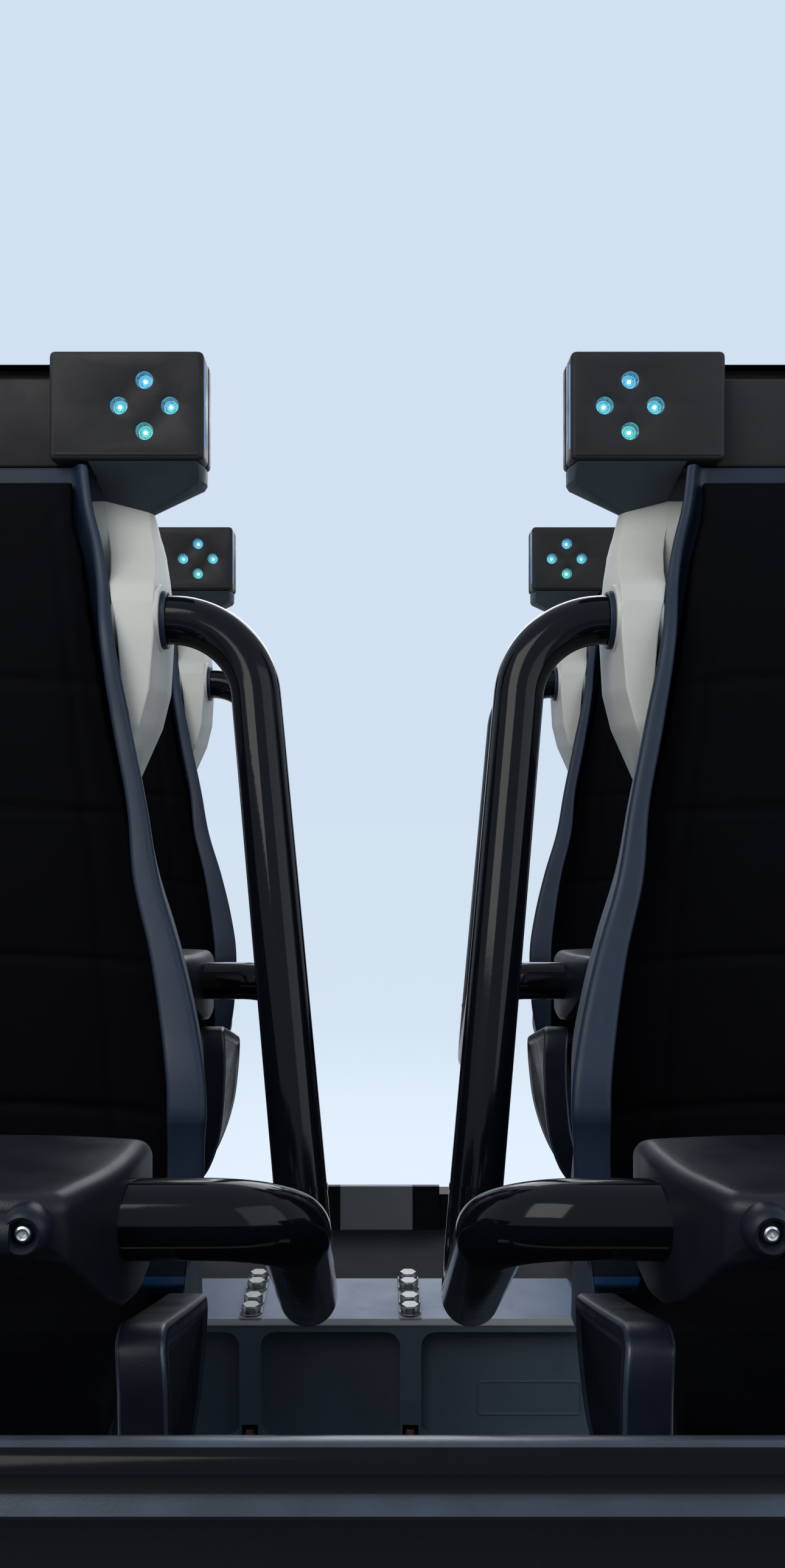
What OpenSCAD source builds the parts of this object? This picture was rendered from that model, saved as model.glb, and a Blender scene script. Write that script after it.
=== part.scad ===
/* [Seats] */
// distance from the centre plane to the front row's seat centres
row1_x = 436.5; // [420:0.5:460]
// distance from the centre plane to the rear row's seat centres
row2_x = 517; // [480:1:530]
// headrest face of the front row
row1_y = -325; // [-400:5:-250]
// headrest face of the rear row
row2_y = 713; // [650:1:760]
// half the headrest's width
head_half = 235; // [210:1:250]
// half the gap between a headrest's two lamp boxes
head_gap = 65.5; // [50:0.5:80]
// top of the headrest
head_top = 2073; // [1980:1:2100]
// height of a lamp box
head_box_h = 120; // [90:1:150]
// top face of the seat pan
pan_z = 1062; // [1000:1:1120]
// front edge of the seat pan ahead of the headrest face
pan_reach = 430; // [380:5:480]
// half the width of the seat pan
pan_half = 232; // [220:1:240]
// outer face of a leg wing from the seat centre
wing_out = 288; // [270:1:300]
// thickness of a leg wing
wing_t = 34; // [20:1:40]

/* [Restraint] */
// outside radius of the restraint tube
tube_r = 27; // [20:0.5:32]
// restraint hinge behind the headrest face
piv_y = 5; // [-10:1:60]
// height of the restraint hinge above the seat pan
piv_rise = 716; // [640:1:780]
// half the width of the lap pad
pad_half = 258; // [230:1:266]
// side of the seat where the tube comes out
collar_u = 191; // [176:1:198]

/* [Fascia] */
// gap between the front leg wings and the fascia's inner face
fas_gap = 10.5; // [6:0.5:30]
// corner radius of the fascia in plan
fas_r = 240; // [120:5:320]
// front face of the fascia
fas_y = -1165; // [-1200:1:-1100]
// top of the fascia's lip
fas_top = 1302; // [1200:1:1350]
// lower edge of the fascia
fas_bot = 781; // [720:1:900]

/* [Chassis] */
// top of the floor pan
floor_z = 660; // [620:5:700]
// distance of each bogie from the middle of the car
bogie_y = 720; // [600:5:800]
// distance from the centre plane to a rail
rail_x = 500; // [450:5:560]
// yaw pin from the centre plane
yaw_x = 340; // [320:1:360]
// rear drawbar eye behind the middle of the car
eye_y = 1125; // [1050:5:1200]
// front clevis pin, ahead of the middle of the car
clevis_y = -1125; // [-1200:5:-1050]
// height of the coupler pins
eye_z = 530; // [500:5:560]

/* [Cross beam] */
// half the length of the beam between the rows
beam_half = 295; // [260:1:320]
// front face of the beam
beam_y = 37; // [20:1:60]
// width of the beam along the car
beam_w = 159; // [120:1:180]
// top of the beam
beam_top = 860; // [800:1:900]

/* [Wheels] */
// road wheel radius
road_r = 150; // [120:1:165]
// road wheel axle height
road_z = 462; // [440:1:500]
// half the distance between a bogie's two road wheels
road_dy = 178; // [165:1:200]
// guide wheel radius
guide_r = 110; // [90:1:120]
// guide wheel height
guide_z = 240; // [220:1:260]
// half the distance between a bogie's two guide wheels
guide_dy = 158; // [150:1:180]
// up-stop wheel radius
stop_r = 85; // [70:1:90]

/* [Hidden] */
$fn = 48;
slack = 0.05;
guide_x = rail_x + 70 + guide_r;
piv_u = 138;
piv_r = 39;
shell_y0 = 40;
shell_y1 = 140;
ped_y1 = 112;
box_z = head_top - head_box_h;
fas_t = 20;
fas_half = row1_x + wing_out + fas_gap + fas_t;
fas_end = fas_y + fas_r + 9;
stay_x = fas_half - fas_r - 40;
ped_half = 180;
// seat heights stretch between the pan and the headrest top
function up(z) = z <= 1062 ? z + pan_z - 1062 : pan_z + (z - 1062) * (head_top - pan_z) / 1011;
function lifted(p) = [for (q = p) [q[0], up(q[1])]];
piv_z = up(1062 + piv_rise);
arm_path = [
  [piv_u + 8, piv_y, piv_z],
  [285, piv_y, piv_z],
  [wing_out + 72, -140, up(1080)],
  [wing_out + 78, -544, up(1305)],
  [pad_half - 20, -548, up(1306)]
];
arm_bend = [0, 95, 72, 60, 0];
bucket_out = [
  [101, 1990], [108, 1949], [116, 1900], [128, 1857], [146, 1760], [168, 1660], [190, 1576], [205, 1502], [231, 1430], [251, 1360],
  [262, 1304], [263, 1276], [258, 1200], [250, 1158], [240, 1124], [pan_half, 1112],
  [pan_half, 1000]
];
bucket_in = [
  [90, 1990], [97, 1949], [105, 1900], [116, 1857], [131, 1760], [149, 1660], [168, 1576], [178, 1502], [199, 1430],
  [214, 1360], [223, 1304], [224, 1276], [223, 1100], [222, 1000]
];

// vector helpers for the bent tubes
function unit(v) = v / norm(v);
function turn(a, b) = acos(max(-1, min(1, unit(a) * unit(b))));
function spin_z(d) = atan2(d[1], d[0]);
function tilt_y(d) = acos(max(-1, min(1, unit(d)[2])));
function local_xy(d, n) = let (c = spin_z(d), b = tilt_y(d),
  x1 = n[0] * cos(c) + n[1] * sin(c), y1 = -n[0] * sin(c) + n[1] * cos(c),
  x2 = x1 * cos(b) - n[2] * sin(b)) [x2, y1];
function mirror_u(p) = concat(p, [for (i = [len(p) - 1:-1:0]) [-p[i][0], p[i][1]]]);
function rr(w, h, r, n = 5) = [for (k = [0:3]) for (i = [0:n])
  let (a = 90 * k + 90 * i / n, sx = (k == 0 || k == 3) ? 1 : -1, sy = (k < 2) ? 1 : -1)
  [sx * (w / 2 - r) + r * cos(a), sy * (h / 2 - r) + r * sin(a)]];

// round bar along a bent path, each bend an exact arc
module bent_bar(p, r, bend) {
  for (i = [0:len(p) - 2]) {
    d = p[i + 1] - p[i];
    t0 = i == 0 ? 0 : bend[i] * tan(turn(p[i] - p[i - 1], d) / 2) - 1;
    t1 = i == len(p) - 2 ? 0 : bend[i + 1] * tan(turn(d, p[i + 2] - p[i + 1]) / 2) - 1;
    translate(p[i] + unit(d) * t0)
      rotate([0, tilt_y(d), spin_z(d)])
        cylinder(r = r, h = norm(d) - t0 - t1);
  }
  for (i = [1:len(p) - 2]) {
    d = p[i] - p[i - 1];
    n = p[i + 1] - p[i];
    a = turn(d, n);
    l = local_xy(d, n);
    translate(p[i] - unit(d) * bend[i] * tan(a / 2))
      rotate([0, tilt_y(d), spin_z(d)])
        rotate([0, 0, atan2(l[1], l[0])])
          translate([bend[i], 0, 0])
            rotate([90, 0, 180])
              rotate_extrude(angle = a)
                translate([bend[i], 0])
                  circle(r = r + 0.3);
  }
}

// a front outline (u, z) run along the car, and a side outline (y, z) run across it
module front_cut(p, y0, y1) {
  translate([0, y1, 0]) rotate([90, 0, 0]) linear_extrude(height = y1 - y0) polygon(p);
}
module side_cut(p, half) {
  translate([-half, 0, 0]) rotate([90, 0, 90]) linear_extrude(height = 2 * half) polygon(p);
}
module at_row(k) {
  x = k == 1 ? row1_x : row2_x;
  y = k == 1 ? row1_y : row2_y;
  for (s = [-1, 1]) translate([s * x, y, 0]) children();
}
module at_seats() {
  at_row(1) children();
  at_row(2) children();
}
module bar_x(x0, x1, y, z, r) {
  translate([x0, y, z]) rotate([0, 90, 0]) cylinder(r = r, h = x1 - x0);
}

module seat_front(p, y0, y1) {
  front_cut(mirror_u(lifted(p)), y0, y1);
}
module seat_side(p, half) {
  side_cut(lifted(p), half);
}
module hinge_holes() {
  for (s = [0, 1]) mirror([s, 0, 0]) bar_x(piv_u, 270, piv_y, piv_z, piv_r + slack);
}

// everything higher than a gap under the lamp boxes
module above_box(gap) {
  translate([-300, -300, box_z - gap]) cube([600, 600, 300]);
}

module seat_shell() {
  outline = concat(
    lifted([[184, 1000], [184, 1560], [196, 1640], [210, 1720], [210, 1850], [192, 1880]]),
    [[171, box_z - 46], [233, box_z], [214, box_z], [214, head_top - 63], [206, head_top - 24],
      [182, head_top]]);
  side = concat(
    lifted([[-50, 1000], [-50, 1600], [-38, 1700], [-28, 1795], [22, 1850]]),
    [[64, box_z - 46], [2, box_z], [66, box_z], [66, head_top], [82, head_top],
      [100, head_top - 14], [112, head_top - 70]],
    lifted([[124, 1880], [shell_y1 - 2, 1700], [shell_y1, 1420], [shell_y1 - 10, 1150],
      [ped_y1, 1000]]));
  plan = [
    [0, -60], [188, -60], [210, -8], [240, 4], [240, 60], [208, 84], [190, 112],
    [150, 130], [90, shell_y1 - 3], [0, shell_y1]
  ];
  difference() {
    intersection() {
      front_cut(mirror_u(outline), -80, 200);
      side_cut(side, 250);
      translate([0, 0, 900]) linear_extrude(height = 1300) polygon(mirror_u(plan));
    }
    seat_front(bucket_out, -200, shell_y0);
    hinge_holes();
  }
}

module seat_bucket() {
  side = [
    [shell_y0, 1000], [shell_y0, 1990], [12, 1990], [4, 1949], [-6, 1900], [-24, 1820], [-55, 1760], [-75, 1660], [-95, 1576],
    [-115, 1502], [-140, 1430], [-165, 1360], [-185, 1304], [-190, 1276], [-190, 1150],
    [-186, 1130], [-172, 1114], [-150, 1108], [-150, 1000]
  ];
  cavity = [
    [21, 2000], [24, 1857], [26, 1700], [28, 1500], [28, 1062], [-300, 1062], [-300, 2000]
  ];
  difference() {
    union() {
      difference() {
        intersection() {
          seat_front(bucket_out, -200, shell_y0);
          seat_side(side, 300);
        }
        above_box(4);
      }
      side_cut([
        [-140, pan_z - 62], [-140, pan_z], [-pan_reach + 8, pan_z], [-pan_reach, pan_z - 8],
        [-pan_reach, pan_z - 50], [-pan_reach + 12, pan_z - 62]
      ], pan_half);
    }
    intersection() {
      seat_front(concat([[88, 2000]], bucket_in), -300, shell_y0);
      seat_side(cavity, 300);
    }
    hinge_holes();
  }
}

module headrest() {
  outline = [
    [head_gap, head_top], [head_half - 6, head_top], [head_half, head_top - 6],
    [head_half, box_z + 6], [head_half - 6, box_z], [head_gap, box_z]
  ];
  side = [
    [0, box_z + 6], [0, head_top - 6], [2, head_top - 2], [6, head_top],
    [66, head_top], [66, box_z], [6, box_z], [2, box_z + 2]
  ];
  difference() {
    union() {
      for (s = [0, 1]) mirror([s, 0, 0])
        intersection() {
          front_cut(outline, -5, 66);
          side_cut(side, 240);
        }
      translate([-head_gap - 4, 36, box_z]) cube([2 * head_gap + 8, 30, head_box_h - 20]);
    }
    for (s = [-1, 1]) lamp_spots(s) rotate([-90, 0, 0]) translate([0, 0, -1]) cylinder(r = 10, h = 9);
  }
}
module lamp_spots(s) {
  for (p = [[28, 0], [-28, 0], [0, 28], [0, -28]])
    translate([s * (head_half - 65) + p[0], 0, box_z + head_box_h / 2 + p[1]]) children();
}

module back_pad() {
  outline = [
    [84, 1990], [91, 1944], [97, 1900], [109, 1857], [124, 1760], [142, 1660], [161, 1576], [171, 1502], [191, 1430],
    [206, 1360], [215, 1304], [216, 1276], [216, 1110]
  ];
  side = [
    [21.21, 1990], [24, 1857], [26, 1700], [28, 1500], [28, 1108], [-8, 1108], [-14, 1180],
    [-4, 1420], [-8, 1640], [-4, 1800], [4, 1900], [18, 1990]
  ];
  difference() {
    intersection() {
      seat_front(outline, -60, 60);
      seat_side(side, 300);
    }
    above_box(8);
  }
}

module seat_cushion() {
  side = [
    [22, pan_z], [22, pan_z + 40], [-60, pan_z + 30], [-300, pan_z + 42], [-390, pan_z + 38],
    [-414, pan_z + 24], [-418, pan_z]
  ];
  outline = [
    [216, pan_z], [216, pan_z + 30], [206, pan_z + 42], [150, pan_z + 36], [70, pan_z + 34],
    [30, pan_z + 44]
  ];
  intersection() {
    side_cut(side, 216);
    front_cut(mirror_u(outline), -430, 60);
  }
}

module leg_wing() {
  side = [
    [-392, 1195], [-480, 1219], [-568, 1243], [-582, 1238], [-590, 1220], [-592, 1150],
    [-582, 1070], [-560, 1018], [-530, 1000], [-470, 1000], [-425, 1032], [-396, 1088],
    [-384, 1150], [-384, 1186]
  ];
  outer = [[-12, 1246], [-3, 1236], [0, 1216], [0, 1140], [-8, 1086], [-26, 1036], [-48, 1000]];
  inner = [[-40, 1000], [-22, 1040], [-8, 1090], [-2, 1140], [0, 1216], [1, 1238], [4, 1246]];
  outline = lifted(concat(
    [for (q = outer) [wing_out + q[0], q[1]]],
    [for (q = inner) [wing_out - wing_t + q[0], q[1]]]));
  panel = lifted([
    [-410, 1178], [-548, 1216], [-566, 1200], [-568, 1120], [-548, 1050], [-520, 1030],
    [-480, 1036], [-440, 1066], [-414, 1110]
  ]);
  for (s = [0, 1]) mirror([s, 0, 0])
    difference() {
      union() {
        intersection() {
          front_cut(outline, -600, -380);
          translate([200, 0, 0]) rotate([90, 0, 90]) linear_extrude(height = 100) polygon(lifted(side));
        }
        translate([pan_half, -pan_reach, pan_z - 50]) cube([wing_out - wing_t - pan_half - 6, 46, 42]);
      }
      translate([wing_out - 2.5, 0, 0]) rotate([90, 0, 90]) linear_extrude(height = 5) polygon(panel);
      translate([0, -pan_reach, 900]) cube([pan_half, 100, pan_z - 900]);
    }
}

module seat_pedestal() {
  top = pan_z - 62;
  side = [
    [ped_y1, floor_z], [ped_y1, top], [-pan_reach + 30, top], [-pan_reach + 70, top - 40],
    [-250, top - 70], [-170, top - 120], [-120, top - 220], [-110, floor_z]
  ];
  intersection() {
    side_cut(side, ped_half);
    front_cut(mirror_u([[ped_half, top], [ped_half - 30, top - 100], [ped_half - 30, floor_z]]), -500, 200);
  }
}

module pivot_housing() {
  for (s = [0, 1]) mirror([s, 0, 0])
    difference() {
      union() {
        bar_x(piv_u, collar_u, piv_y, piv_z, piv_r);
        bar_x(collar_u - 1, collar_u + 5, piv_y, piv_z, piv_r - 3);
      }
      bar_x(piv_u - 10, collar_u + 10, piv_y, piv_z, tube_r + slack);
    }
}

module latch_block() {
  outline = lifted([[197, 1158], [250, 1158], [238, 1122], [232, 1118], [208, 1118], [202, 1122]]);
  side = lifted([[-190, 1118], [-206, 1122], [-212, 1134], [-212, 1158], [-190, 1158]]);
  for (s = [0, 1]) mirror([s, 0, 0])
    intersection() {
      front_cut(outline, -212, -190);
      side_cut(side, 300);
    }
}

module restraint_tubes() {
  for (s = [0, 1]) mirror([s, 0, 0]) bent_bar(arm_path, tube_r, arm_bend);
}
module lap_pad() {
  outline = [
    [0, 1348], [190, 1348], [234, 1345], [252, 1337], [pad_half, 1322], [pad_half, 1274],
    [252, 1261], [238, 1257], [222, 1253], [198, 1263], [160, 1280], [110, 1286], [60, 1278],
    [0, 1272]
  ];
  side = [
    [-420, 1256], [-426, 1300], [-450, 1332], [-490, 1345], [-540, 1348], [-612, 1348],
    [-640, 1342], [-651, 1328], [-651, 1304], [-636, 1280], [-590, 1260], [-520, 1240],
    [-440, 1240]
  ];
  plan = [
    [0, -652], [196, -652], [220, -644], [234, -624], [pad_half - 2, -560], [pad_half, -520],
    [pad_half - 2, -446], [238, -419], [0, -419]
  ];
  tongue = [
    [-446, 1236], [-438, 1276], [-584, 1276], [-572, 1226], [-548, 1202], [-510, 1194], [-468, 1204]
  ];
  difference() {
    union() {
      intersection() {
        seat_front(outline, -700, -400);
        seat_side(side, 300);
        translate([0, 0, 1000]) linear_extrude(height = 600) polygon(mirror_u(plan));
      }
      seat_side(tongue, 34);
      bar_x(-204, 204, -654, up(1333), 14);
      for (s = [-1, 1])
        translate([s * 213, -630, up(1335)]) rotate([90, 0, 0]) cylinder(r = 16, h = 34);
    }
    for (s = [0, 1]) mirror([s, 0, 0]) {
      d = arm_path[4] - arm_path[3];
      translate(arm_path[4])
        rotate([0, tilt_y(-d), spin_z(-d)])
          cylinder(r = tube_r + slack, h = 60);
    }
  }
}

module fascia_ring(z0, z1, d, t) {
  translate([0, 0, z0])
    linear_extrude(height = z1 - z0)
      polygon(concat(fas_line(d), [for (i = [len(fas_line(d - t)) - 1:-1:0]) fas_line(d - t)[i]]));
}
function fas_line(d) = concat(
  [[-fas_half - d, fas_end]],
  [for (i = [0:10]) let (a = 180 + 9 * i)
    [-fas_half + fas_r + (fas_r + d) * cos(a), fas_y + fas_r + (fas_r + d) * sin(a)]],
  [for (i = [0:10]) let (a = 270 + 9 * i)
    [fas_half - fas_r + (fas_r + d) * cos(a), fas_y + fas_r + (fas_r + d) * sin(a)]],
  [[fas_half + d, fas_end]]);
module fascia_rail(z, d, r) {
  bent_bar([[-fas_half - d, fas_end, z], [-fas_half - d, fas_y - d, z],
    [fas_half + d, fas_y - d, z], [fas_half + d, fas_end, z]], r, [0, fas_r + d, fas_r + d, 0]);
}
module front_fascia() {
  difference() {
    union() {
      fascia_ring(fas_bot + 15, fas_top - 16, 0, fas_t);
      fascia_ring(fas_top - 117, fas_top - 32, 8, 12);
      fascia_ring(fas_bot + 56, fas_bot + 166, 8, 12);
      fascia_rail(fas_top - 13, -3, 13);
      fascia_rail(fas_bot + 15, -4, 15);
    }
    translate([0, fas_y + 4, 0]) rotate([90, 0, 0]) linear_extrude(height = 40)
      polygon([[-161, fas_top - 139], [161, fas_top - 139], [147, fas_bot + 180], [-147, fas_bot + 180]]);
  }
}
module fascia_stays() {
  for (x = [-stay_x, stay_x])
    translate([x - 20, 0, 0]) rotate([90, 0, 90]) linear_extrude(height = 40)
      polygon([[fas_y + fas_t, fas_top - 114], [fas_y + fas_t + 16, fas_top - 114],
        [fas_y + fas_t + 40, floor_z], [fas_y + fas_t, floor_z]]);
}

module floor_pan() {
  rear = [[fas_half - 25, 1060], [fas_half - 85, 1120], [-fas_half + 85, 1120], [-fas_half + 25, 1060]];
  translate([0, 0, floor_z - 20]) linear_extrude(height = 20) polygon(concat(fas_line(-25), rear));
}
module side_sills() {
  profile = [
    [fas_half - 58, floor_z], [fas_half - 58, fas_bot - 9], [fas_half - 49, fas_bot],
    [fas_half - 8, fas_bot], [fas_half, fas_bot - 10], [fas_half, floor_z + 24],
    [fas_half - 22, floor_z]
  ];
  for (s = [0, 1]) mirror([s, 0, 0]) front_cut(profile, fas_end + 6, 1070);
}
module chassis_frame() {
  difference() {
    union() {
      translate([-90, -1060, 575]) cube([180, 2120, 65]);
      for (x = [-360, 300]) translate([x, -1060, 575]) cube([60, 2120, 65]);
      for (y = [-1060, -30, 1000]) translate([-360, y, 575]) cube([720, 60, 65]);
    }
    for (y = [-850, -450, -250, 250, 450, 850])
      bar_x(-120, 120, y, 607, 18);
  }
}
module axle_beams() {
  for (y = [-bogie_y, bogie_y]) translate([0, y, 0]) {
    translate([-270, -50, 420]) cube([540, 100, 155]);
    for (s = [-1, 1]) {
      for (z = [395, 500]) {
        translate([s * yaw_x, 0, z]) cylinder(r = 45, h = 25);
        translate([s * (yaw_x - 45) - 45, -45, z]) cube([90, 90, 25]);
      }
      translate([s * yaw_x, 0, 395]) cylinder(r = 28, h = 130);
    }
  }
}

module bogie() {
  difference() {
    union() {
      translate([yaw_x, 0, 430]) cylinder(r = 52, h = 60);
      translate([yaw_x, -45, 430]) cube([70, 90, 60]);
      for (x = [405, 575]) {
        translate([x, -road_dy, road_z - 50]) cube([20, 2 * road_dy, 100]);
        for (y = [-road_dy, road_dy]) bar_x(x, x + 20, y, road_z, 50);
      }
      translate([425, -16, road_z - 50]) cube([150, 32, 110]);
      translate([575, -32, 85]) cube([20, 64, road_z - 100]);
      bar_x(575, 595, 0, 85, 40);
      translate([575, -205, 300]) cube([150, 410, 22]);
      translate([575, -205, 300]) cube([20, 410, 130]);
    }
    translate([yaw_x, 0, 400]) cylinder(r = 28 + slack, h = 120);
  }
  for (y = [-road_dy, road_dy]) bar_x(424, 576, y, road_z, 30);
  for (y = [-guide_dy, guide_dy]) {
    translate([guide_x, y, 196]) cylinder(r = 24, h = 105);
    translate([guide_x, y, 188]) cylinder(r = 36, h = 10);
  }
  bar_x(450, 576, 0, 85, 22);
  bar_x(442, 452, 0, 85, 34);
}
module bogie_at(fr, s) {
  translate([0, fr * bogie_y, 0]) mirror([s < 0 ? 1 : 0, 0, 0]) bogie();
}

module wheel(r, w, bore) {
  difference() {
    union() {
      rotate_extrude() polygon([
        [0, -w / 2 + 4], [r * 0.34, -w / 2 + 4], [r * 0.36, -w / 2 + 14], [r * 0.76, -w / 2 + 14],
        [r * 0.78, -w / 2], [r - 6, -w / 2], [r, -w / 2 + 6], [r, w / 2 - 6], [r - 6, w / 2],
        [r * 0.78, w / 2], [r * 0.76, w / 2 - 14], [r * 0.36, w / 2 - 14], [r * 0.34, w / 2 - 4],
        [0, w / 2 - 4]
      ]);
    }
    translate([0, 0, -w]) cylinder(r = bore + slack, h = 2 * w);
  }
}
module road_wheel(fr, s, k) {
  translate([s * rail_x, fr * bogie_y + k * road_dy, road_z]) rotate([0, 90, 0]) wheel(road_r, 90, 30);
}
module guide_wheel(fr, s, k) {
  translate([s * guide_x, fr * bogie_y + k * guide_dy, guide_z]) wheel(guide_r, 72, 24);
}
module stop_wheel(fr, s) {
  translate([s * rail_x, fr * bogie_y, stop_r]) rotate([0, 90, 0]) wheel(stop_r, 70, 22);
}

module cross_beam() {
  y1 = beam_y + beam_w;
  side = [
    [beam_y, floor_z], [beam_y, beam_top - 6], [beam_y + 6, beam_top], [y1 - 6, beam_top],
    [y1, beam_top - 6], [y1, floor_z]
  ];
  front = [[beam_half, floor_z], [beam_half, beam_top - 24], [beam_half - 24, beam_top]];
  difference() {
    intersection() {
      side_cut(side, beam_half);
      front_cut(mirror_u(front), beam_y, y1);
    }
    for (p = [[-beam_half - 40, -199.5], [-170.5, 20.5], [49.5, beam_half + 40]])
      translate([(p[0] + p[1]) / 2, beam_y + 28, beam_top - 92]) rotate([90, 0, 0])
        linear_extrude(height = 40) polygon(rr(p[1] - p[0], 154, 20));
    for (x = [-185, 35])
      translate([x - 11, beam_y - 1, floor_z + 24]) cube([22, 30, 34]);
  }
}
module rear_plate() {
  translate([-120, 980, floor_z]) cube([240, 12, 90]);
  translate([-300, 992, floor_z]) cube([600, 50, 70]);
}
module brake_fin() {
  translate([-120, -480, 555]) cube([240, 960, 20]);
  translate([-10, -480, 360]) cube([20, 960, 195]);
}
module couplers() {
  difference() {
    union() {
      translate([-50, 900, eye_z - 30]) cube([100, eye_y - 900, 60]);
      translate([-50, 900, eye_z - 30]) cube([100, 110, 75]);
      translate([0, eye_y, eye_z - 30]) cylinder(r = 50, h = 60);
    }
    translate([0, eye_y, eye_z - 50]) cylinder(r = 20, h = 100);
  }
  difference() {
    union() {
      translate([-50, clevis_y, eye_z - 45]) cube([100, -900 - clevis_y, 90]);
      translate([0, clevis_y, eye_z - 45]) cylinder(r = 50, h = 90);
    }
    translate([-60, clevis_y - 60, eye_z - 15]) cube([120, 120, 30]);
    translate([0, clevis_y, eye_z - 60]) cylinder(r = 20, h = 120);
  }
}

color([0.1, 0.1, 0.11]) chassis_frame();
color([0.1, 0.1, 0.11]) axle_beams();
color([0.07, 0.07, 0.08]) floor_pan();
color([0.02, 0.02, 0.025]) front_fascia();
color([0.1, 0.1, 0.11]) fascia_stays();
color([0.02, 0.02, 0.025]) side_sills();
color([0.05, 0.05, 0.06]) at_seats() seat_pedestal();  // seat_pedestals
color([0.06, 0.07, 0.08]) at_seats() seat_bucket();  // seat_buckets
color([0.55, 0.6, 0.58]) at_seats() seat_shell();  // seat_shells
color([0.05, 0.05, 0.055]) at_seats() back_pad();  // back_pads
color([0.05, 0.05, 0.055]) at_seats() seat_cushion();  // seat_cushions
color([0.04, 0.04, 0.05]) at_seats() headrest();  // headrests
color([0.2, 0.9, 1])  // headrest_lamps
  at_seats() for (s = [-1, 1]) lamp_spots(s) rotate([-90, 0, 0]) translate([0, 0, 2]) cylinder(r = 10, h = 6);
color([0.04, 0.04, 0.045]) at_seats() leg_wing();  // leg_wings
color([0.04, 0.04, 0.045]) at_seats() pivot_housing();  // pivot_housings
color([0.04, 0.04, 0.045]) at_seats() latch_block();  // latch_blocks
color([0.5, 0.52, 0.52]) cross_beam();
color([0.6, 0.62, 0.62]) rear_plate();
color([0.4, 0.42, 0.42]) brake_fin();
color([0.1, 0.1, 0.11]) couplers();
for (k = [1, 2]) for (s = [-1, 1]) {
  x = s * (k == 1 ? row1_x : row2_x);
  y = k == 1 ? row1_y : row2_y;
  tag = str(k, s < 0 ? "l" : "r");
  color([0.01, 0.01, 0.012]) translate([x, y, 0]) restraint_tubes();
  color([0.03, 0.03, 0.033]) translate([x, y, 0]) lap_pad();
}
for (f = [-1, 1]) for (s = [-1, 1]) {
  tag = str(f < 0 ? "f" : "r", s < 0 ? "l" : "r");
  color([0.12, 0.12, 0.13]) bogie_at(f, s);
  color([0.5, 0.3, 0.1]) stop_wheel(f, s);
  for (k = [-1, 1]) {
    ab = k < 0 ? "_a" : "_b";
    color([0.5, 0.3, 0.1]) road_wheel(f, s, k);
    color([0.5, 0.3, 0.1]) guide_wheel(f, s, k);
  }
}
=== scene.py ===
import math

import bmesh
import bpy
import numpy as np
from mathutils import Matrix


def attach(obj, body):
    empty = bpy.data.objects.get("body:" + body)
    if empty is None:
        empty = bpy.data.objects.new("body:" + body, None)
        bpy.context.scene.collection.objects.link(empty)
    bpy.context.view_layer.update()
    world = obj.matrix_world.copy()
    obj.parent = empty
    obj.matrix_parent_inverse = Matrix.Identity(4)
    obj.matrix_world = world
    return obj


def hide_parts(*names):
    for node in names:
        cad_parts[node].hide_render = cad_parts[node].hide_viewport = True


bl_info = {
    "name": "Coaster car dressing",
    "version": (1, 0, 0),
    "blender": (4, 5, 0),
    "location": "View3D > Sidebar > Coaster car",
    "description": "Finishes the surfaces, pads, lamps and fittings of a two-row coaster car",
    "category": "Object",
}

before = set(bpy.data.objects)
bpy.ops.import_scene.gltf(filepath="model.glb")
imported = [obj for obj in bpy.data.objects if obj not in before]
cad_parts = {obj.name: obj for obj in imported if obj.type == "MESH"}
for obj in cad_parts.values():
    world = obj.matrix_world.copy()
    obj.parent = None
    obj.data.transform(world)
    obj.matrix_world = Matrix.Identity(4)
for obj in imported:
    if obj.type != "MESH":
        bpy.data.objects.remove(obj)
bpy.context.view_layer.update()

# ---------------------------------------------------------------- places and tables, in mm
ROWS = {1: (436.5, -325.0), 2: (517.0, 713.0)}
SEATS = [(k, t, s * ROWS[k][0], ROWS[k][1]) for k in (1, 2) for s, t in ((-1, "l"), (1, "r"))]
PIVOT = (5.0, 1778.0)
HEAD_TOP, BOX_Z, HEAD_HALF, HEAD_GAP, LAMP_STEP = 2073.0, 1953.0, 235.0, 65.5, 28.0
PAD_HALF, WING_OUT, WING_T = 258.0, 288.0, 34.0
HANDLE_Y, HANDLE_Z, BOSS_U = -654.0, 1333.0, 213.0
FAS_HALF, FAS_R, FAS_Y, FAS_TOP, FAS_BOT, FAS_END = 755.0, 240.0, -1165.0, 1302.0, 781.0, -916.0
ROLL, FOOT_ROLL = 13.0, 15.0
BEAM_HALF, BEAM_Y, BEAM_W, BEAM_TOP, FLOOR_Z = 295.0, 37.0, 159.0, 860.0, 660.0
RIBS = (-185.0, 35.0)
BOGIE_Y, RAIL_X = 720.0, 500.0
# wheels: radius, width, bore, axle height and half the distance between a bogie's two
ROAD = (150.0, 90.0, 30.0, 462.0, 178.0)
GUIDE = (110.0, 72.0, 24.0, 240.0, 158.0)
STOP = (85.0, 70.0, 22.0)
GUIDE_X = RAIL_X + 70 + GUIDE[0]
CORNERS = [(fy, sx, ft + st) for fy, ft in ((-1, "f"), (1, "r")) for sx, st in ((-1, "l"), (1, "r"))]

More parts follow.
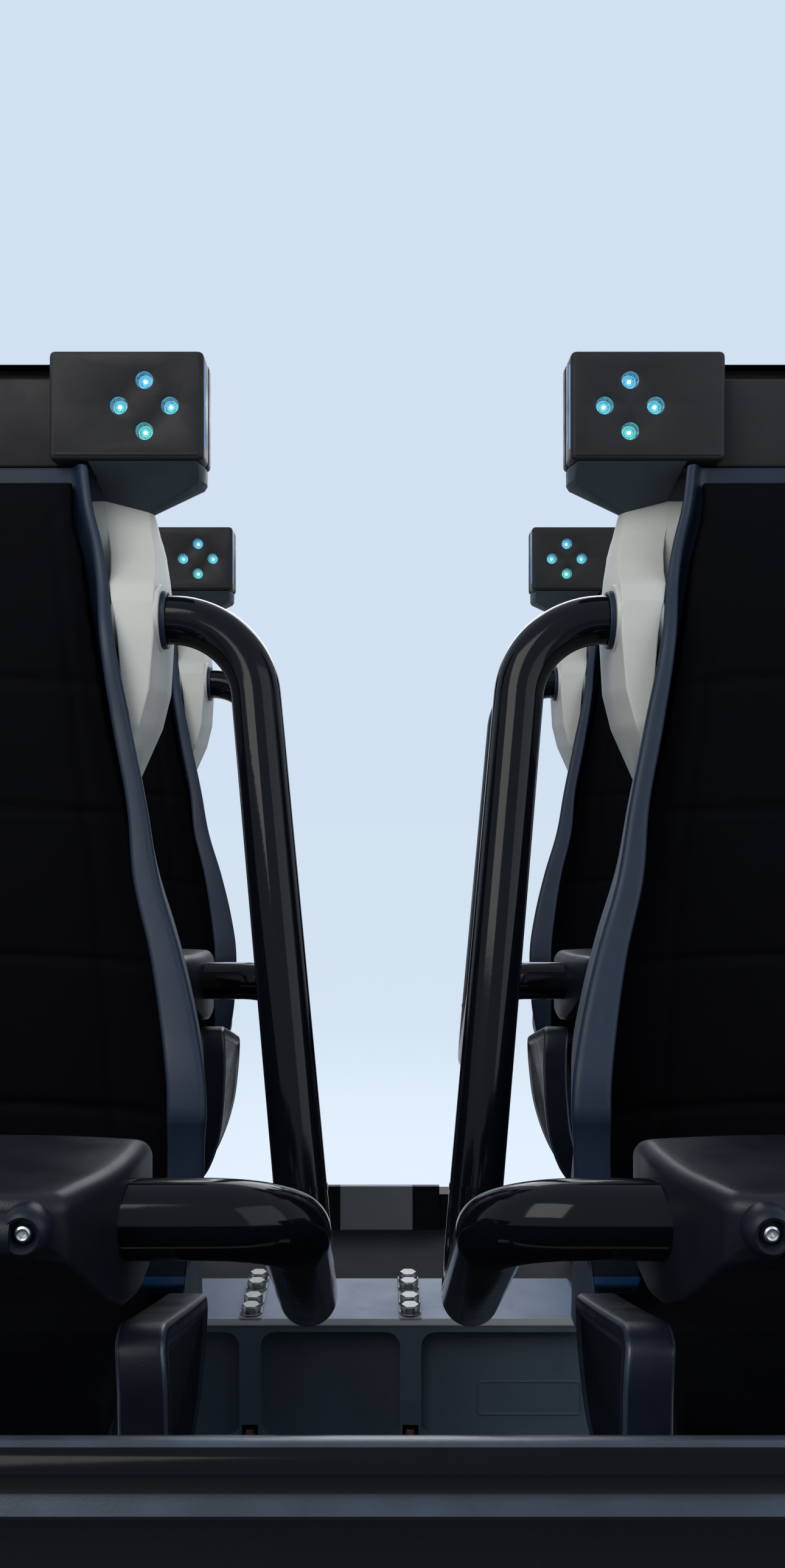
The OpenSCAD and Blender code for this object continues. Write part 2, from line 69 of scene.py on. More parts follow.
# height, outer half width, inner half width and front face of the side bolsters
BOLSTER = np.array([
    [1949, 108, 97, 4], [1900, 116, 105, -6], [1857, 128, 116, -14], [1820, 136, 122, -24],
    [1760, 147, 131, -55], [1660, 170, 149, -75],
    [1576, 190, 168, -95], [1502, 206, 178, -115], [1430, 231, 199, -140], [1360, 251, 214, -165],
    [1304, 262, 223, -186], [1278, 263, 224, -190], [1270, 262, 224, -188], [1200, 258, 223, -183],
    [1158, 250, 223, -179],
    [1124, 240, 222, -174], [1112, 233, 222, -166], [1062, 232, 222, -150], [1000, 230, 222, -150]], float)
ARM = np.array([
    [146, PIVOT[0], PIVOT[1]], [285, PIVOT[0], PIVOT[1]], [WING_OUT + 72, -140, 1080],
    [WING_OUT + 78, -544, 1305], [PAD_HALF - 20, -548, 1306]], float)
ARM_BEND = (0, 95, 72, 60, 0)


# ---------------------------------------------------------------- numpy surfaces
def along(z, zs, vs):
    """Smooth curve through the points (zs, vs): cubic Hermite pieces with averaged slopes."""
    order = np.argsort(zs)
    zs, vs = np.asarray(zs, float)[order], np.asarray(vs, float)[order]
    slope = np.gradient(vs, zs)
    i = np.clip(np.searchsorted(zs, z) - 1, 0, len(zs) - 2)
    h = zs[i + 1] - zs[i]
    t = np.clip((z - zs[i]) / h, 0, 1)
    return ((2 * t**3 - 3 * t**2 + 1) * vs[i] + (t**3 - 2 * t**2 + t) * h * slope[i]
            + (3 * t**2 - 2 * t**3) * vs[i + 1] + (t**3 - t**2) * h * slope[i + 1])


def fillet(points, radius, steps=5):
    """Closed outline whose corners are parabolic arcs: each starts and ends `radius` from its corner."""
    p = np.asarray(points, float)
    back, ahead = np.roll(p, 1, 0) - p, np.roll(p, -1, 0) - p
    lb = np.linalg.norm(back, axis=1, keepdims=True)
    la = np.linalg.norm(ahead, axis=1, keepdims=True)
    r = np.minimum(np.asarray(radius, float).reshape(-1, 1), np.minimum(lb, la) * 0.49)
    a, b = p + back / lb * r, p + ahead / la * r
    t = np.linspace(0, 1, steps)[None, :, None]
    return ((1 - t) ** 2 * a[:, None] + 2 * t * (1 - t) * p[:, None] + t**2 * b[:, None]).reshape(-1, p.shape[1])


def inset(p, d):
    """Outline moved inwards by d along the normal that bisects each corner."""
    e = np.roll(p, -1, 0) - np.roll(p, 1, 0)
    n = np.stack([-e[:, 1], e[:, 0]], 1) / (np.linalg.norm(e, axis=1, keepdims=True) + 1e-12)
    x, y = p[:, 0], p[:, 1]
    area = np.sum(x * np.roll(y, -1) - np.roll(x, -1) * y)
    return p + n * (d if area > 0 else -d)


def rect(a0, b0, a1, b1):
    """Corners of a rectangle."""
    return [(a0, b0), (a1, b0), (a1, b1), (a0, b1)]


def place(outline, at, axis):
    """Outline (a, b) set into space at `at` along an axis."""
    c = np.full(len(outline), float(at))
    a, b = outline[:, 0], outline[:, 1]
    return np.stack({"x": (c, a, b), "y": (a, c, b), "z": (a, b, c)}[axis], 1)


def slab(outline, lo, hi, edge, axis, steps=4, panel=None):
    """Outline carried from lo to hi along an axis; both rims follow a quarter circle of radius edge.
    panel=(inset, depth) sinks the inner part of both faces."""
    q = np.linspace(0, math.pi / 2, steps)
    ins = edge * (1 - np.sin(q))
    pos = edge * (1 - np.cos(q))
    first = [place(inset(outline, i), lo + p, axis) for i, p in zip(ins, pos)]
    last = [place(inset(outline, i), hi - p, axis) for i, p in zip(ins[::-1], pos[::-1])]
    if panel:
        w, d = panel
        first = [place(inset(outline, w + 2 * abs(d)), lo + d, axis), place(inset(outline, w), lo, axis)] + first
        last = last + [place(inset(outline, w), hi, axis), place(inset(outline, w + 2 * abs(d)), hi - d, axis)]
    return np.array(first + last)


def turned(profile, centre, axis, n=48):
    """Profile (radius, height) turned about an axis through centre: rings of n points."""
    a = np.linspace(0, 2 * math.pi, n, endpoint=False)
    r, h = np.asarray(profile, float)[:, :1], np.asarray(profile, float)[:, 1:]
    u, v, w = r * np.cos(a), r * np.sin(a), h + 0 * a
    xyz = {"x": (w, u, v), "y": (v, w, u), "z": (u, v, w)}[axis]
    return np.stack(xyz, -1) + np.asarray(centre, float)


def hexagon(size, lo, hi, centre, axis):
    """Hexagon prism whose upper rim is chamfered as on a bolt head."""
    a = np.arange(6) * math.pi / 3
    o = np.stack([np.cos(a), np.sin(a)], 1) * size / math.sqrt(3)
    o = fillet(o, size * 0.04, 2)
    rings = [place(o * k, h, axis) for k, h in ((1, lo), (1, hi - size * 0.1), (0.88, hi - size * 0.01), (0.86, hi))]
    shift = {"x": (0, centre[0], centre[1]), "y": (centre[0], 0, centre[1]), "z": (centre[0], centre[1], 0)}[axis]
    return np.array(rings) + np.asarray(shift, float)


def bent(points, radii, steps=14):
    """Line through the points with true arcs of the given radii at its corners."""
    p = np.asarray(points, float)
    out = [p[:1]]
    for i in range(1, len(p) - 1):
        d0, d1 = p[i] - p[i - 1], p[i + 1] - p[i]
        d0, d1 = d0 / np.linalg.norm(d0), d1 / np.linalg.norm(d1)
        turn = math.acos(float(np.clip(d0 @ d1, -1, 1)))
        n = d1 - d0 * (d0 @ d1)
        n /= np.linalg.norm(n)
        start = p[i] - d0 * radii[i] * math.tan(turn / 2)
        f = np.linspace(0, turn, steps)[:, None]
        out.append(start + radii[i] * (np.sin(f) * d0 + (1 - np.cos(f)) * n))
    out.append(p[-1:])
    return np.concatenate(out)


def swept(path, radius, n=40, hint=(0.26, 0.86, 0.43)):
    """Circle of a given radius, or one per point, carried along a path."""
    t = np.gradient(path, axis=0)
    t /= np.linalg.norm(t, axis=1, keepdims=True)
    hint = np.asarray(hint, float)
    u = hint - (t @ hint)[:, None] * t
    u /= np.linalg.norm(u, axis=1, keepdims=True)
    v = np.cross(t, u)
    a = np.linspace(0, 2 * math.pi, n, endpoint=False)
    r = np.broadcast_to(radius, (len(path),))[:, None, None]
    return path[:, None] + r * (np.cos(a)[None, :, None] * u[:, None] + np.sin(a)[None, :, None] * v[:, None])


def linked(name, data):
    """A new object in the scene."""
    ob = bpy.data.objects.new(name, data)
    bpy.context.scene.collection.objects.link(ob)
    return ob


def points_of(me):
    """A mesh's points as an array of rows."""
    co = np.zeros(len(me.vertices) * 3)
    me.vertices.foreach_get("co", co)
    return co.reshape(-1, 3)


class Form:
    """Collects grids of points, in mm, into one mesh with numbered materials."""

    def __init__(self):
        self.points, self.faces, self.kinds, self.count = [], [], [], 0

    def rings(self, p, kind=0, caps=(True, True), close=True, loop=False):
        """Quads between rings of points, with flat faces over the first and last ring. kind is one material
        number, or one for each quad, with 0 for the end faces."""
        p = np.asarray(p, float)
        n, m = p.shape[:2]
        i = np.arange(n if loop else n - 1)[:, None]
        j = np.arange(m if close else m - 1)[None, :]
        a, b = i * m + j, i * m + (j + 1) % m
        c, d = (i + 1) % n * m + (j + 1) % m, (i + 1) % n * m + j
        quads = (np.stack([a, b, c, d], -1).reshape(-1, 4) + self.count).tolist()
        ends = []
        if caps[0] and not loop:
            ends.append((np.arange(m)[::-1] + self.count).tolist())
        if caps[1] and not loop:
            ends.append((np.arange(m) + (n - 1) * m + self.count).tolist())
        self.points.append(p.reshape(-1, 3))
        self.faces += quads + ends
        self.kinds += np.broadcast_to(kind, i.shape[:1] + j.shape[1:]).ravel().tolist()
        self.kinds += [kind if np.isscalar(kind) else 0] * len(ends)
        self.count += n * m
        return self

    def mirrored(self):
        """Adds the form's mirror image across x = 0."""
        p = np.concatenate(self.points) * (-1, 1, 1)
        self.faces += [[i + self.count for i in f[::-1]] for f in self.faces]
        self.kinds += list(self.kinds)
        self.points.append(p)
        self.count += len(p)
        return self

    def copied(self, shifts):
        """The form repeated at each shift."""
        p, f, k = np.concatenate(self.points), list(self.faces), list(self.kinds)
        self.points = [p + np.asarray(s, float) for s in shifts]
        self.faces = [[i + len(p) * c for i in g] for c in range(len(shifts)) for g in f]
        self.kinds = k * len(shifts)
        self.count = len(p) * len(shifts)
        return self

    def join(self, other):
        """Adds another form."""
        self.points += other.points
        self.faces += [[i + self.count for i in g] for g in other.faces]
        self.kinds += other.kinds
        self.count += other.count
        return self

    def build(self, name, body, mats, slot, replaces=(), sharp=35.0):
        """Makes the object in metres, faces outwards, and parents it to its body's empty."""
        me = bpy.data.meshes.new(name)
        me.from_pydata((np.concatenate(self.points) * 0.001).tolist(), [], self.faces)
        me.polygons.foreach_set("material_index", self.kinds)
        for m in mats:
            me.materials.append(finish(m))
        bm = bmesh.new()
        bm.from_mesh(me)
        bmesh.ops.remove_doubles(bm, verts=bm.verts, dist=1e-6)
        bmesh.ops.recalc_face_normals(bm, faces=bm.faces)
        bm.to_mesh(me)
        bm.free()
        me.shade_smooth()
        me.set_sharp_from_angle(angle=math.radians(sharp))
        ob = linked(name, me)
        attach(ob, body)
        if replaces:
            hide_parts(*replaces)
        return ob


def add_subdiv(ob, levels):
    mod = ob.modifiers.new("Smooth", "SUBSURF")
    mod.levels = mod.render_levels = levels


SEAT_SHIFTS = [(x, y, 0) for _, _, x, y in SEATS]


# ---------------------------------------------------------------- materials
class Val:
    """A socket in an expression: each operator adds one Math node."""

    def __init__(self, tree, socket):
        self.tree, self.socket = tree, socket

    def math(self, op, other, swap=False):
        a, b = (other, self) if swap else (self, other)
        return self.tree.node("ShaderNodeMath", {"operation": op}, {0: a, 1: b})

    def __add__(self, o): return self.math("ADD", o)
    def __radd__(self, o): return self.math("ADD", o, True)
    def __sub__(self, o): return self.math("SUBTRACT", o)
    def __rsub__(self, o): return self.math("SUBTRACT", o, True)
    def __mul__(self, o): return self.math("MULTIPLY", o)
    def __rmul__(self, o): return self.math("MULTIPLY", o, True)
    def __gt__(self, o): return self.math("GREATER_THAN", o)
    def __lt__(self, o): return self.math("LESS_THAN", o)


class Tree:
    """The node tree of a material or a sky, emptied first."""

    def __init__(self, owner):
        owner.use_nodes = True
        self.t = owner.node_tree
        self.t.nodes.clear()

    def node(self, kind, settings, values, out=0):
        """Adds a node: its settings first, then the values or links of its sockets. Gives one of its outputs."""
        n = self.t.nodes.new(kind)
        for k, v in settings.items():
            setattr(n, k, v)
        for k, v in values.items():
            if isinstance(v, Val):
                self.t.links.new(v.socket, n.inputs[k])
            else:
                n.inputs[k].default_value = v
        return Val(self, n.outputs[out]) if n.outputs else n


class Finish(Tree):
    """A material built from expressions on Object coordinates, in metres."""

    def __init__(self, name, base, rough, metal=0.0, coat=0.0, gloss=0.5):
        self.m = bpy.data.materials.new(name)
        super().__init__(self.m)
        paint = self.node("ShaderNodeBsdfPrincipled", {}, {})
        self.out = self.node("ShaderNodeOutputMaterial", {}, {0: paint})
        self.bsdf = paint.socket.node
        self.set("Base Color", (*base, 1.0))
        self.set("Roughness", rough)
        self.set("Metallic", metal)
        self.set("Coat Weight", coat)
        self.set("Specular IOR Level", gloss)
        self.coords = self.node("ShaderNodeTexCoord", {}, {}, "Object")

    def set(self, name, value):
        s = self.bsdf.inputs[name]
        if isinstance(value, Val):
            self.t.links.new(value.socket, s)
        else:
            s.default_value = value
        return self

    def noise(self, scale, detail=3.0, stretch=None):
        at = self.coords
        if stretch:
            at = self.node("ShaderNodeMapping", {}, {"Vector": at, "Scale": stretch})
        return self.node("ShaderNodeTexNoise", {}, {"Vector": at, "Scale": scale, "Detail": detail, "Roughness": 0.55})

    def cells(self, scale, feature="F1"):
        return self.node("ShaderNodeTexVoronoi", {"feature": feature}, {"Vector": self.coords, "Scale": scale}, 0)

    def span(self, v, lo, hi, a=0.0, b=1.0):
        return self.node("ShaderNodeMapRange", {}, {0: v, 1: lo, 2: hi, 3: a, 4: b})

    def mix(self, f, a, b):
        a = (*a, 1.0) if isinstance(a, tuple) and len(a) == 3 else a
        b = (*b, 1.0) if isinstance(b, tuple) and len(b) == 3 else b
        return self.node("ShaderNodeMix", {"data_type": "RGBA"}, {0: f, 6: a, 7: b}, 2)

    def bump(self, height, distance, strength=1.0):
        values = {"Height": height, "Distance": distance, "Strength": strength}
        return self.set("Normal", self.node("ShaderNodeBump", {}, values))

    def axis(self, i):
        return self.node("ShaderNodeSeparateXYZ", {}, {0: self.coords}, i)


def shade(c, k):
    return tuple(min(1.0, v * k) for v in c)


MATS = {}


def finish(name):
    """Each finish is made once, the first time that a piece asks for it."""
    if name not in MATS:
        MATS[name] = FINISHES[name]()
    return MATS[name]


def clouded(name, a, b, cloud, spread=None, smear=None, grain=None, **kind):
    """Tones a and b mixed by a cloud of noise (scale, detail, and the limits of its span). Roughness is spread over
    the cloud, or over a smear of its own, and grain is the bump's noise, depth and strength."""
    f = Finish(name, a, **kind)
    w = f.span(f.noise(*cloud[:2]), *cloud[2:])
    f.set("Base Color", f.mix(w, a, b))
    if spread:
        f.set("Roughness", f.span(w, *spread))
    if smear:
        f.set("Roughness", f.span(f.noise(*smear[:2]), *smear[2:]))
    if grain:
        f.bump(f.noise(*grain[:2]), *grain[2:])
    return f.m


def settings_colour(name):
    return tuple(getattr(bpy.context.scene.coaster_colours, name))


def satin_moulding(name="satin_black_moulding", c=(0.0048, 0.007, 0.0125), rough=0.36, grain=1500):
    return clouded(name, shade(c, 0.75), shade(c, 1.5), (6, 4, 0.3, 0.75), gloss=0.16, rough=rough,
                   smear=(30, 3, 0.3, 0.7, rough - 0.06, rough + 0.1), grain=(grain, 2, 0.0004, 0.35))


def zinc(name="zinc_plated_steel", a=(0.42, 0.41, 0.38), b=(0.68, 0.68, 0.66)):
    return clouded(name, a, b, (160, 4, 0.3, 0.7), (0, 1, 0.28, 0.5), grain=(600, 3, 0.0002, 0.3), rough=0.35,
                   metal=0.9)


def dark_paint(name="chassis_paint", c=(0.03, 0.031, 0.034), rough=0.45):
    """Paint with road dirt over half its depth."""
    return clouded(name, c, (0.07, 0.062, 0.052), (12, 7, 0.45, 0.75, 0, 0.5), (0, 0.5, rough - 0.05, rough + 0.25),
                   grain=(240, 4, 0.0005, 0.35), rough=rough, gloss=0.35)


def tread_urethane():
    c = settings_colour("tread")
    return clouded("cast_urethane_tread", shade(c, 0.9), shade(c, 1.04), (11, 3, 0.3, 0.7), (0, 1, 0.34, 0.46),
                   grain=(700, 3, 0.0002, 0.2), rough=0.38)


def gloss_tube():
    """Lacquer with dust specks and smears that run along the tube."""
    c = (0.0022, 0.0027, 0.0045)
    f = Finish("gloss_black_powder_coat", c, 0.1, gloss=0.14)
    dust = f.span(f.noise(900, 2), 0.66, 0.8)
    smear = f.span(f.noise(14, 4, (1, 1, 0.3)), 0.35, 0.75, 0.06, 0.17)
    f.set("Base Color", f.mix(dust * 0.06, c, (0.1, 0.1, 0.11))).set("Roughness", smear)
    return f.bump(f.noise(60, 2), 0.0006, 0.12).m


def bolster_paint():
    """Slate paint with upright scuffs."""
    c = settings_colour("bolster")
    f = Finish("slate_satin_paint", c, 0.5, gloss=0.24)
    cloud = f.span(f.noise(9, 5), 0.35, 0.7)
    scuff = f.span(f.noise(55, 6, (1, 1, 0.15)), 0.62, 0.72)
    f.set("Base Color", f.mix(scuff * 0.35, f.mix(cloud, shade(c, 0.85), shade(c, 1.15)), shade(c, 1.9)))
    f.set("Roughness", f.span(cloud + scuff * 0.4, 0, 1, 0.42, 0.58))
    return f.bump(f.noise(1100, 2), 0.0003, 0.3).m


def pale_shell():
    c = settings_colour("shell")
    f = Finish("pale_textured_paint", c, 0.5)
    cloud = f.span(f.noise(5, 6), 0.3, 0.75)
    speck = f.span(f.noise(420, 3), 0.35, 0.75)
    tone = f.mix(cloud, shade(c, 0.9), shade(c, 1.04))
    f.set("Base Color", f.mix(speck * 0.18, tone, shade(c, 0.7)))
    f.set("Roughness", f.span(cloud, 0, 1, 0.42, 0.6))
    return f.bump(f.noise(700, 3), 0.0006, 0.4).m


def skin_foam():
    """Foam skin with small cells."""
    c, rough = (0.0013, 0.0014, 0.0022), 0.66
    f = Finish("skinned_foam", c, rough, gloss=0.035)
    cloud = f.span(f.noise(8, 4), 0.3, 0.7)
    f.set("Base Color", f.mix(cloud, shade(c, 0.8), shade(c, 1.4)))
    f.set("Roughness", f.span(cloud, 0, 1, rough - 0.06, rough + 0.08))
    return f.bump(f.span(f.cells(900, "DISTANCE_TO_EDGE"), 0.0, 0.12) + f.noise(200, 3) * 0.4, 0.0005, 0.4).m


def lap_moulding():
    c = (0.0055, 0.0068, 0.0105)
    f = Finish("lap_pad_moulding", c, 0.38, gloss=0.2)
    f.set("Base Color", f.mix(f.span(f.noise(11, 5), 0.4, 0.75), shade(c, 0.85), shade(c, 1.4)))
    f.set("Roughness", f.span(f.noise(17, 5), 0.3, 0.7, 0.42, 0.28))
    return f.bump(f.cells(1300) + f.noise(90, 3) * 0.5, 0.0003, 0.3).m


def plate_paint():
    """Light grey, as on the bolt strips and the rear plate; outside a window in the middle of the rear plate where
    light falls, the plate and the bar behind it are painted black as shade.
    """
    c = (0.3, 0.32, 0.33)
    f = Finish("light_grey_plate_paint", c, 0.5, gloss=0.25)
    cloud, dirt = f.span(f.noise(6, 6), 0.35, 0.7), f.span(f.noise(70, 6), 0.6, 0.8)
    x, y = f.axis(0), f.axis(1)
    pale = f.mix(dirt * 0.25, f.mix(cloud, shade(c, 0.92), shade(c, 1.06)), shade(c, 0.5))
    # painted shade: all of the rear plate outside the lit window in its middle is painted black
    bar = (y > 0.25) * (1 - (y < 0.9915) * (x > -0.086) * (x < 0.064))
    f.set("Base Color", f.mix(bar, pale, (0.007, 0.008, 0.011)))
    f.set("Roughness", f.span(cloud, 0, 1, 0.42, 0.58))
    return f.bump(f.noise(500, 3), 0.0003, 0.3).m


def grey_steel():
    """Blue-grey paint with random dirt; paler and bluer on the upper face as painted light from the sky, darker below
    it as painted shade.
    """
    c = settings_colour("beam")
    f = Finish("grey_painted_steel", c, 0.48, gloss=0.3)
    cloud, dirt = f.span(f.noise(7, 6), 0.35, 0.7), f.span(f.noise(40, 6), 0.55, 0.8)
    # painted light: the upper face gets a paler, bluer tone and everything below it a darker one as painted shade
    high = f.span(f.axis(2), BEAM_TOP * 0.001 - 0.004, BEAM_TOP * 0.001 - 0.001)
    paint = f.mix(high, shade(c, 0.72), (0.215, 0.275, 0.4))
    f.set("Base Color", f.mix(dirt * 0.25, f.mix(cloud * 0.25, paint, shade(c, 0.9)), shade(c, 0.4)))
    f.set("Roughness", f.span(cloud, 0, 1, 0.4, 0.58))
    return f.bump(f.noise(500, 3), 0.0004, 0.3).m


def floor_grit():
    """Dark coating with grit that stands proud of it."""
    c = (0.009, 0.0092, 0.0115)
    f = Finish("gritted_floor", c, 0.8, gloss=0.15)
    worn = f.span(f.noise(3, 6), 0.4, 0.7)
    grit = f.span(f.cells(330), 0.1, 0.5, 1.0, 0.0)
    f.set("Base Color", f.mix(grit * 0.6, f.mix(worn, c, shade(c, 1.7)), shade(c, 3.2)))
    f.set("Roughness", f.span(worn, 0, 1, 0.72, 0.9))
    return f.bump(grit, 0.0012, 0.7).m


def lamp_glow(name="lit_lamp_lens", low=(0.03, 0.62, 0.5), high=(0.05, 0.36, 0.85), power=1.0):
    """The colour turns from green at the lowest lamp to blue at the highest."""
    f = Finish(name, shade(low, 0.3), 0.15, coat=1.0)
    tone = f.mix(f.span(f.axis(2), 1.985, 2.041), low, high)
    f.set("Emission Color", f.mix(f.span(f.cells(260), 0.1, 0.55, 0.0, 0.4), tone, (0.25, 0.85, 0.95)))
    f.set("Emission Strength", power * bpy.context.scene.coaster_sizes.lamp_power)
    return f.m


def lamp_core():
    f = Finish("lamp_core", (0.6, 0.9, 1.0), 0.2)
    f.set("Emission Color", f.mix(f.span(f.cells(500), 0.1, 0.6), (0.65, 0.97, 1.0), (0.3, 0.85, 1.0)))
    f.set("Emission Strength", 2.2 * bpy.context.scene.coaster_sizes.lamp_power)
    return f.m


def line_glow():
    f = Finish("side_line_glow", (0.05, 0.2, 0.5), 0.3)
    f.set("Emission Color", f.mix(f.noise(60, 2), (0.05, 0.25, 0.75), (0.12, 0.45, 1.0)))
    return f.set("Emission Strength", 0.6).m


FINISHES = {
    "tube": gloss_tube, "satin": satin_moulding, "bolster": bolster_paint, "shell": pale_shell,
    "foam": skin_foam, "lap": lap_moulding, "steel": grey_steel, "zinc": zinc, "chassis": dark_paint,
    "floor": floor_grit, "tread": tread_urethane, "plate": plate_paint, "lamp": lamp_glow, "core": lamp_core,
    "line": line_glow,
    # painted glow: the bore round each lens is no lamp but glows as if lit by it
    "well": lambda: lamp_glow("lamp_well", (0.004, 0.06, 0.11), (0.004, 0.035, 0.24), 0.5),
    "groove": lambda: lamp_glow("lamp_groove", (0.01, 0.2, 0.2), (0.01, 0.12, 0.4), 0.8),
    "bolt": lambda: zinc("aged_bolt_steel", (0.16, 0.16, 0.15), (0.3, 0.3, 0.29)),
    # painted shade: the corbel is the shell's pale paint in shade under the lamp boxes, given a dark slate tone
    "corbel": lambda: satin_moulding("corbel_moulding", (0.036, 0.05, 0.06), 0.5, 1900),
    "box": lambda: satin_moulding("headrest_moulding", (0.0115, 0.0112, 0.0122), 0.46, 1900),
    "bogie": lambda: dark_paint("bogie_paint", (0.045, 0.046, 0.05), 0.4),
    "fascia": lambda: clouded("fascia_black_lacquer", (0.0018, 0.0021, 0.0032), (0.08, 0.08, 0.09),
                              (700, 2, 0.68, 0.8, 0, 0.05), smear=(9, 5, 0.3, 0.75, 0.1, 0.22),
                              grain=(45, 2, 0.0005, 0.08), rough=0.12, gloss=0.1),
    # painted highlight: a paler satin black on the lip, bevels and edges of the fascia and leg wings, standing in for
    # their highlights
    "trim": lambda: clouded("rubbed_edge_trim", (0.0136, 0.02, 0.0304), (0.0255, 0.0375, 0.057), (25, 5, 0.35, 0.7),
                            grain=(500, 2, 0.0003, 0.2), rough=0.28, gloss=0.45),
    "machined": lambda: clouded("machined_aluminium", (0.5, 0.51, 0.52), (0.72, 0.73, 0.74), (90, 4, 0, 1),
                                (0.3, 0.7, 0.26, 0.45), grain=(900, 2, 0.0002, 0.3), rough=0.34, metal=1.0),
    "red": lambda: clouded("red_witness_paint", (0.3, 0.012, 0.01), (0.6, 0.03, 0.02), (80, 4, 0, 1), rough=0.4),
    # painted reflection: the blue of the sky on the lower rim of the catch blocks
    "blue": lambda: clouded("blue_rim", (0.003, 0.02, 0.06), (0.005, 0.038, 0.11), (70, 3, 0, 1), rough=0.35),
}


# ---------------------------------------------------------------- settings
class CoasterSizes(bpy.types.PropertyGroup):
    tube_radius: bpy.props.FloatProperty(name="Tube radius", description="Outside radius of the restraint tubes",
                                         default=0.027, unit="LENGTH")
    lamp_radius: bpy.props.FloatProperty(name="Lamp radius", description="Radius of a headrest lamp's lens",
                                         default=0.0085, unit="LENGTH")
    bolt_flats: bpy.props.FloatProperty(name="Bolt flats", description="Width across the flats of the beam bolts",
                                        default=0.024, unit="LENGTH")
    pad_rounding: bpy.props.FloatProperty(name="Pad rounding", description="Radius of the lap pad's upper edges",
                                          default=0.011, unit="LENGTH")
    lamp_power: bpy.props.FloatProperty(name="Lamp glow", description="Emission strength of the lamps", default=1.05)


class CoasterColours(bpy.types.PropertyGroup):
    shell: bpy.props.FloatVectorProperty(name="Shell", description="Seat shell paint", subtype="COLOR",
                                         default=(0.45, 0.46, 0.425))
    bolster: bpy.props.FloatVectorProperty(name="Bolster", description="Seat side bolsters", subtype="COLOR",
                                           default=(0.009, 0.0168, 0.0335))
    beam: bpy.props.FloatVectorProperty(name="Cross beam", description="Steel of the cross beam", subtype="COLOR",
                                        default=(0.13, 0.178, 0.225))
    tread: bpy.props.FloatVectorProperty(name="Tread", description="Wheel tread", subtype="COLOR",
                                         default=(0.42, 0.2, 0.05))


class Maker(bpy.types.Operator):
    """Base of the operators"""

    def execute(self, context):
        self.make(context.scene.coaster_sizes)
        return {"FINISHED"}


# ---------------------------------------------------------------- pieces
class COASTER_OT_frame_finish(Maker):
    """Gives the CAD parts that stay their paint, steel and coating"""
    bl_idname, bl_label = "coaster.frame_finish", "Frame finishes"
    plan = {
        "chassis": ("chassis_frame", "axle_beams", "fascia_stays", "couplers"), "floor": ("floor_pan",),
        "fascia": ("side_sills",), "satin": ("seat_pedestals",), "steel": ("cross_beam",), "plate": ("rear_plate",),
        "machined": ("brake_fin",), "bogie": ("bogie_fl", "bogie_fr", "bogie_rl", "bogie_rr"),
    }

    def make(self, sizes):
        for paint, nodes in self.plan.items():
            for name in nodes:
                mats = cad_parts[name].data.materials
                mats.clear()
                mats.append(finish(paint))


class COASTER_OT_seat_buckets(Maker):
    """Seat buckets: U-shaped sections, narrower at the rear, carried up the seat, and the pan with rounded edges"""
    bl_idname, bl_label = "coaster.seat_buckets", "Seat buckets"

    def make(self, sizes):
        z = np.concatenate([np.linspace(1000, 1100, 8), np.linspace(1105, 1270, 26), np.linspace(1274, 1278, 3),
                            np.linspace(1285, 1943, 100)])
        w, i, f = (along(z, BOLSTER[:, 0], BOLSTER[:, k]) for k in (1, 2, 3))
        rings = []
        for zz, ww, ii, ff in zip(z, w, i, f):
            back = np.interp(zz, [1062, 1500, 1700, 1857, 2000], [28, 28, 26, 24, 21])
            ro = ww * np.interp(zz, [1000, 1112, 1200], [1, 0.97, 0.87])
            ri = min(ii, ro - 5)
            u = [(ro, 40), (ww, ff), (ii, ff), (ri, back), (-ri, back), (-ii, ff), (-ww, ff), (-ro, 40)]
            rings.append(place(fillet(u, [4, 9, 7, 12, 12, 7, 9, 4], 6), zz, "z"))
        top = rings[-1]
        mid = top.mean(0)
        for k, dz in ((0.995, 3.0), (0.985, 5.2), (0.97, 6.0)):
            rings.append((top - mid) * (k, k, 1) + mid + (0, 0, dz))
        form = Form().rings(rings)
        side = fillet([(-140, 1000), (-140, 1061), (-421, 1062), (-430, 1053), (-430, 1012), (-418, 1000)], 5)
        form.rings(slab(side, -232, 232, 9, "x"))
        form.copied(SEAT_SHIFTS).build("seat_bucket_set", "car", ["bolster"], "edge_grey", ["seat_buckets"],
                                       sharp=28)


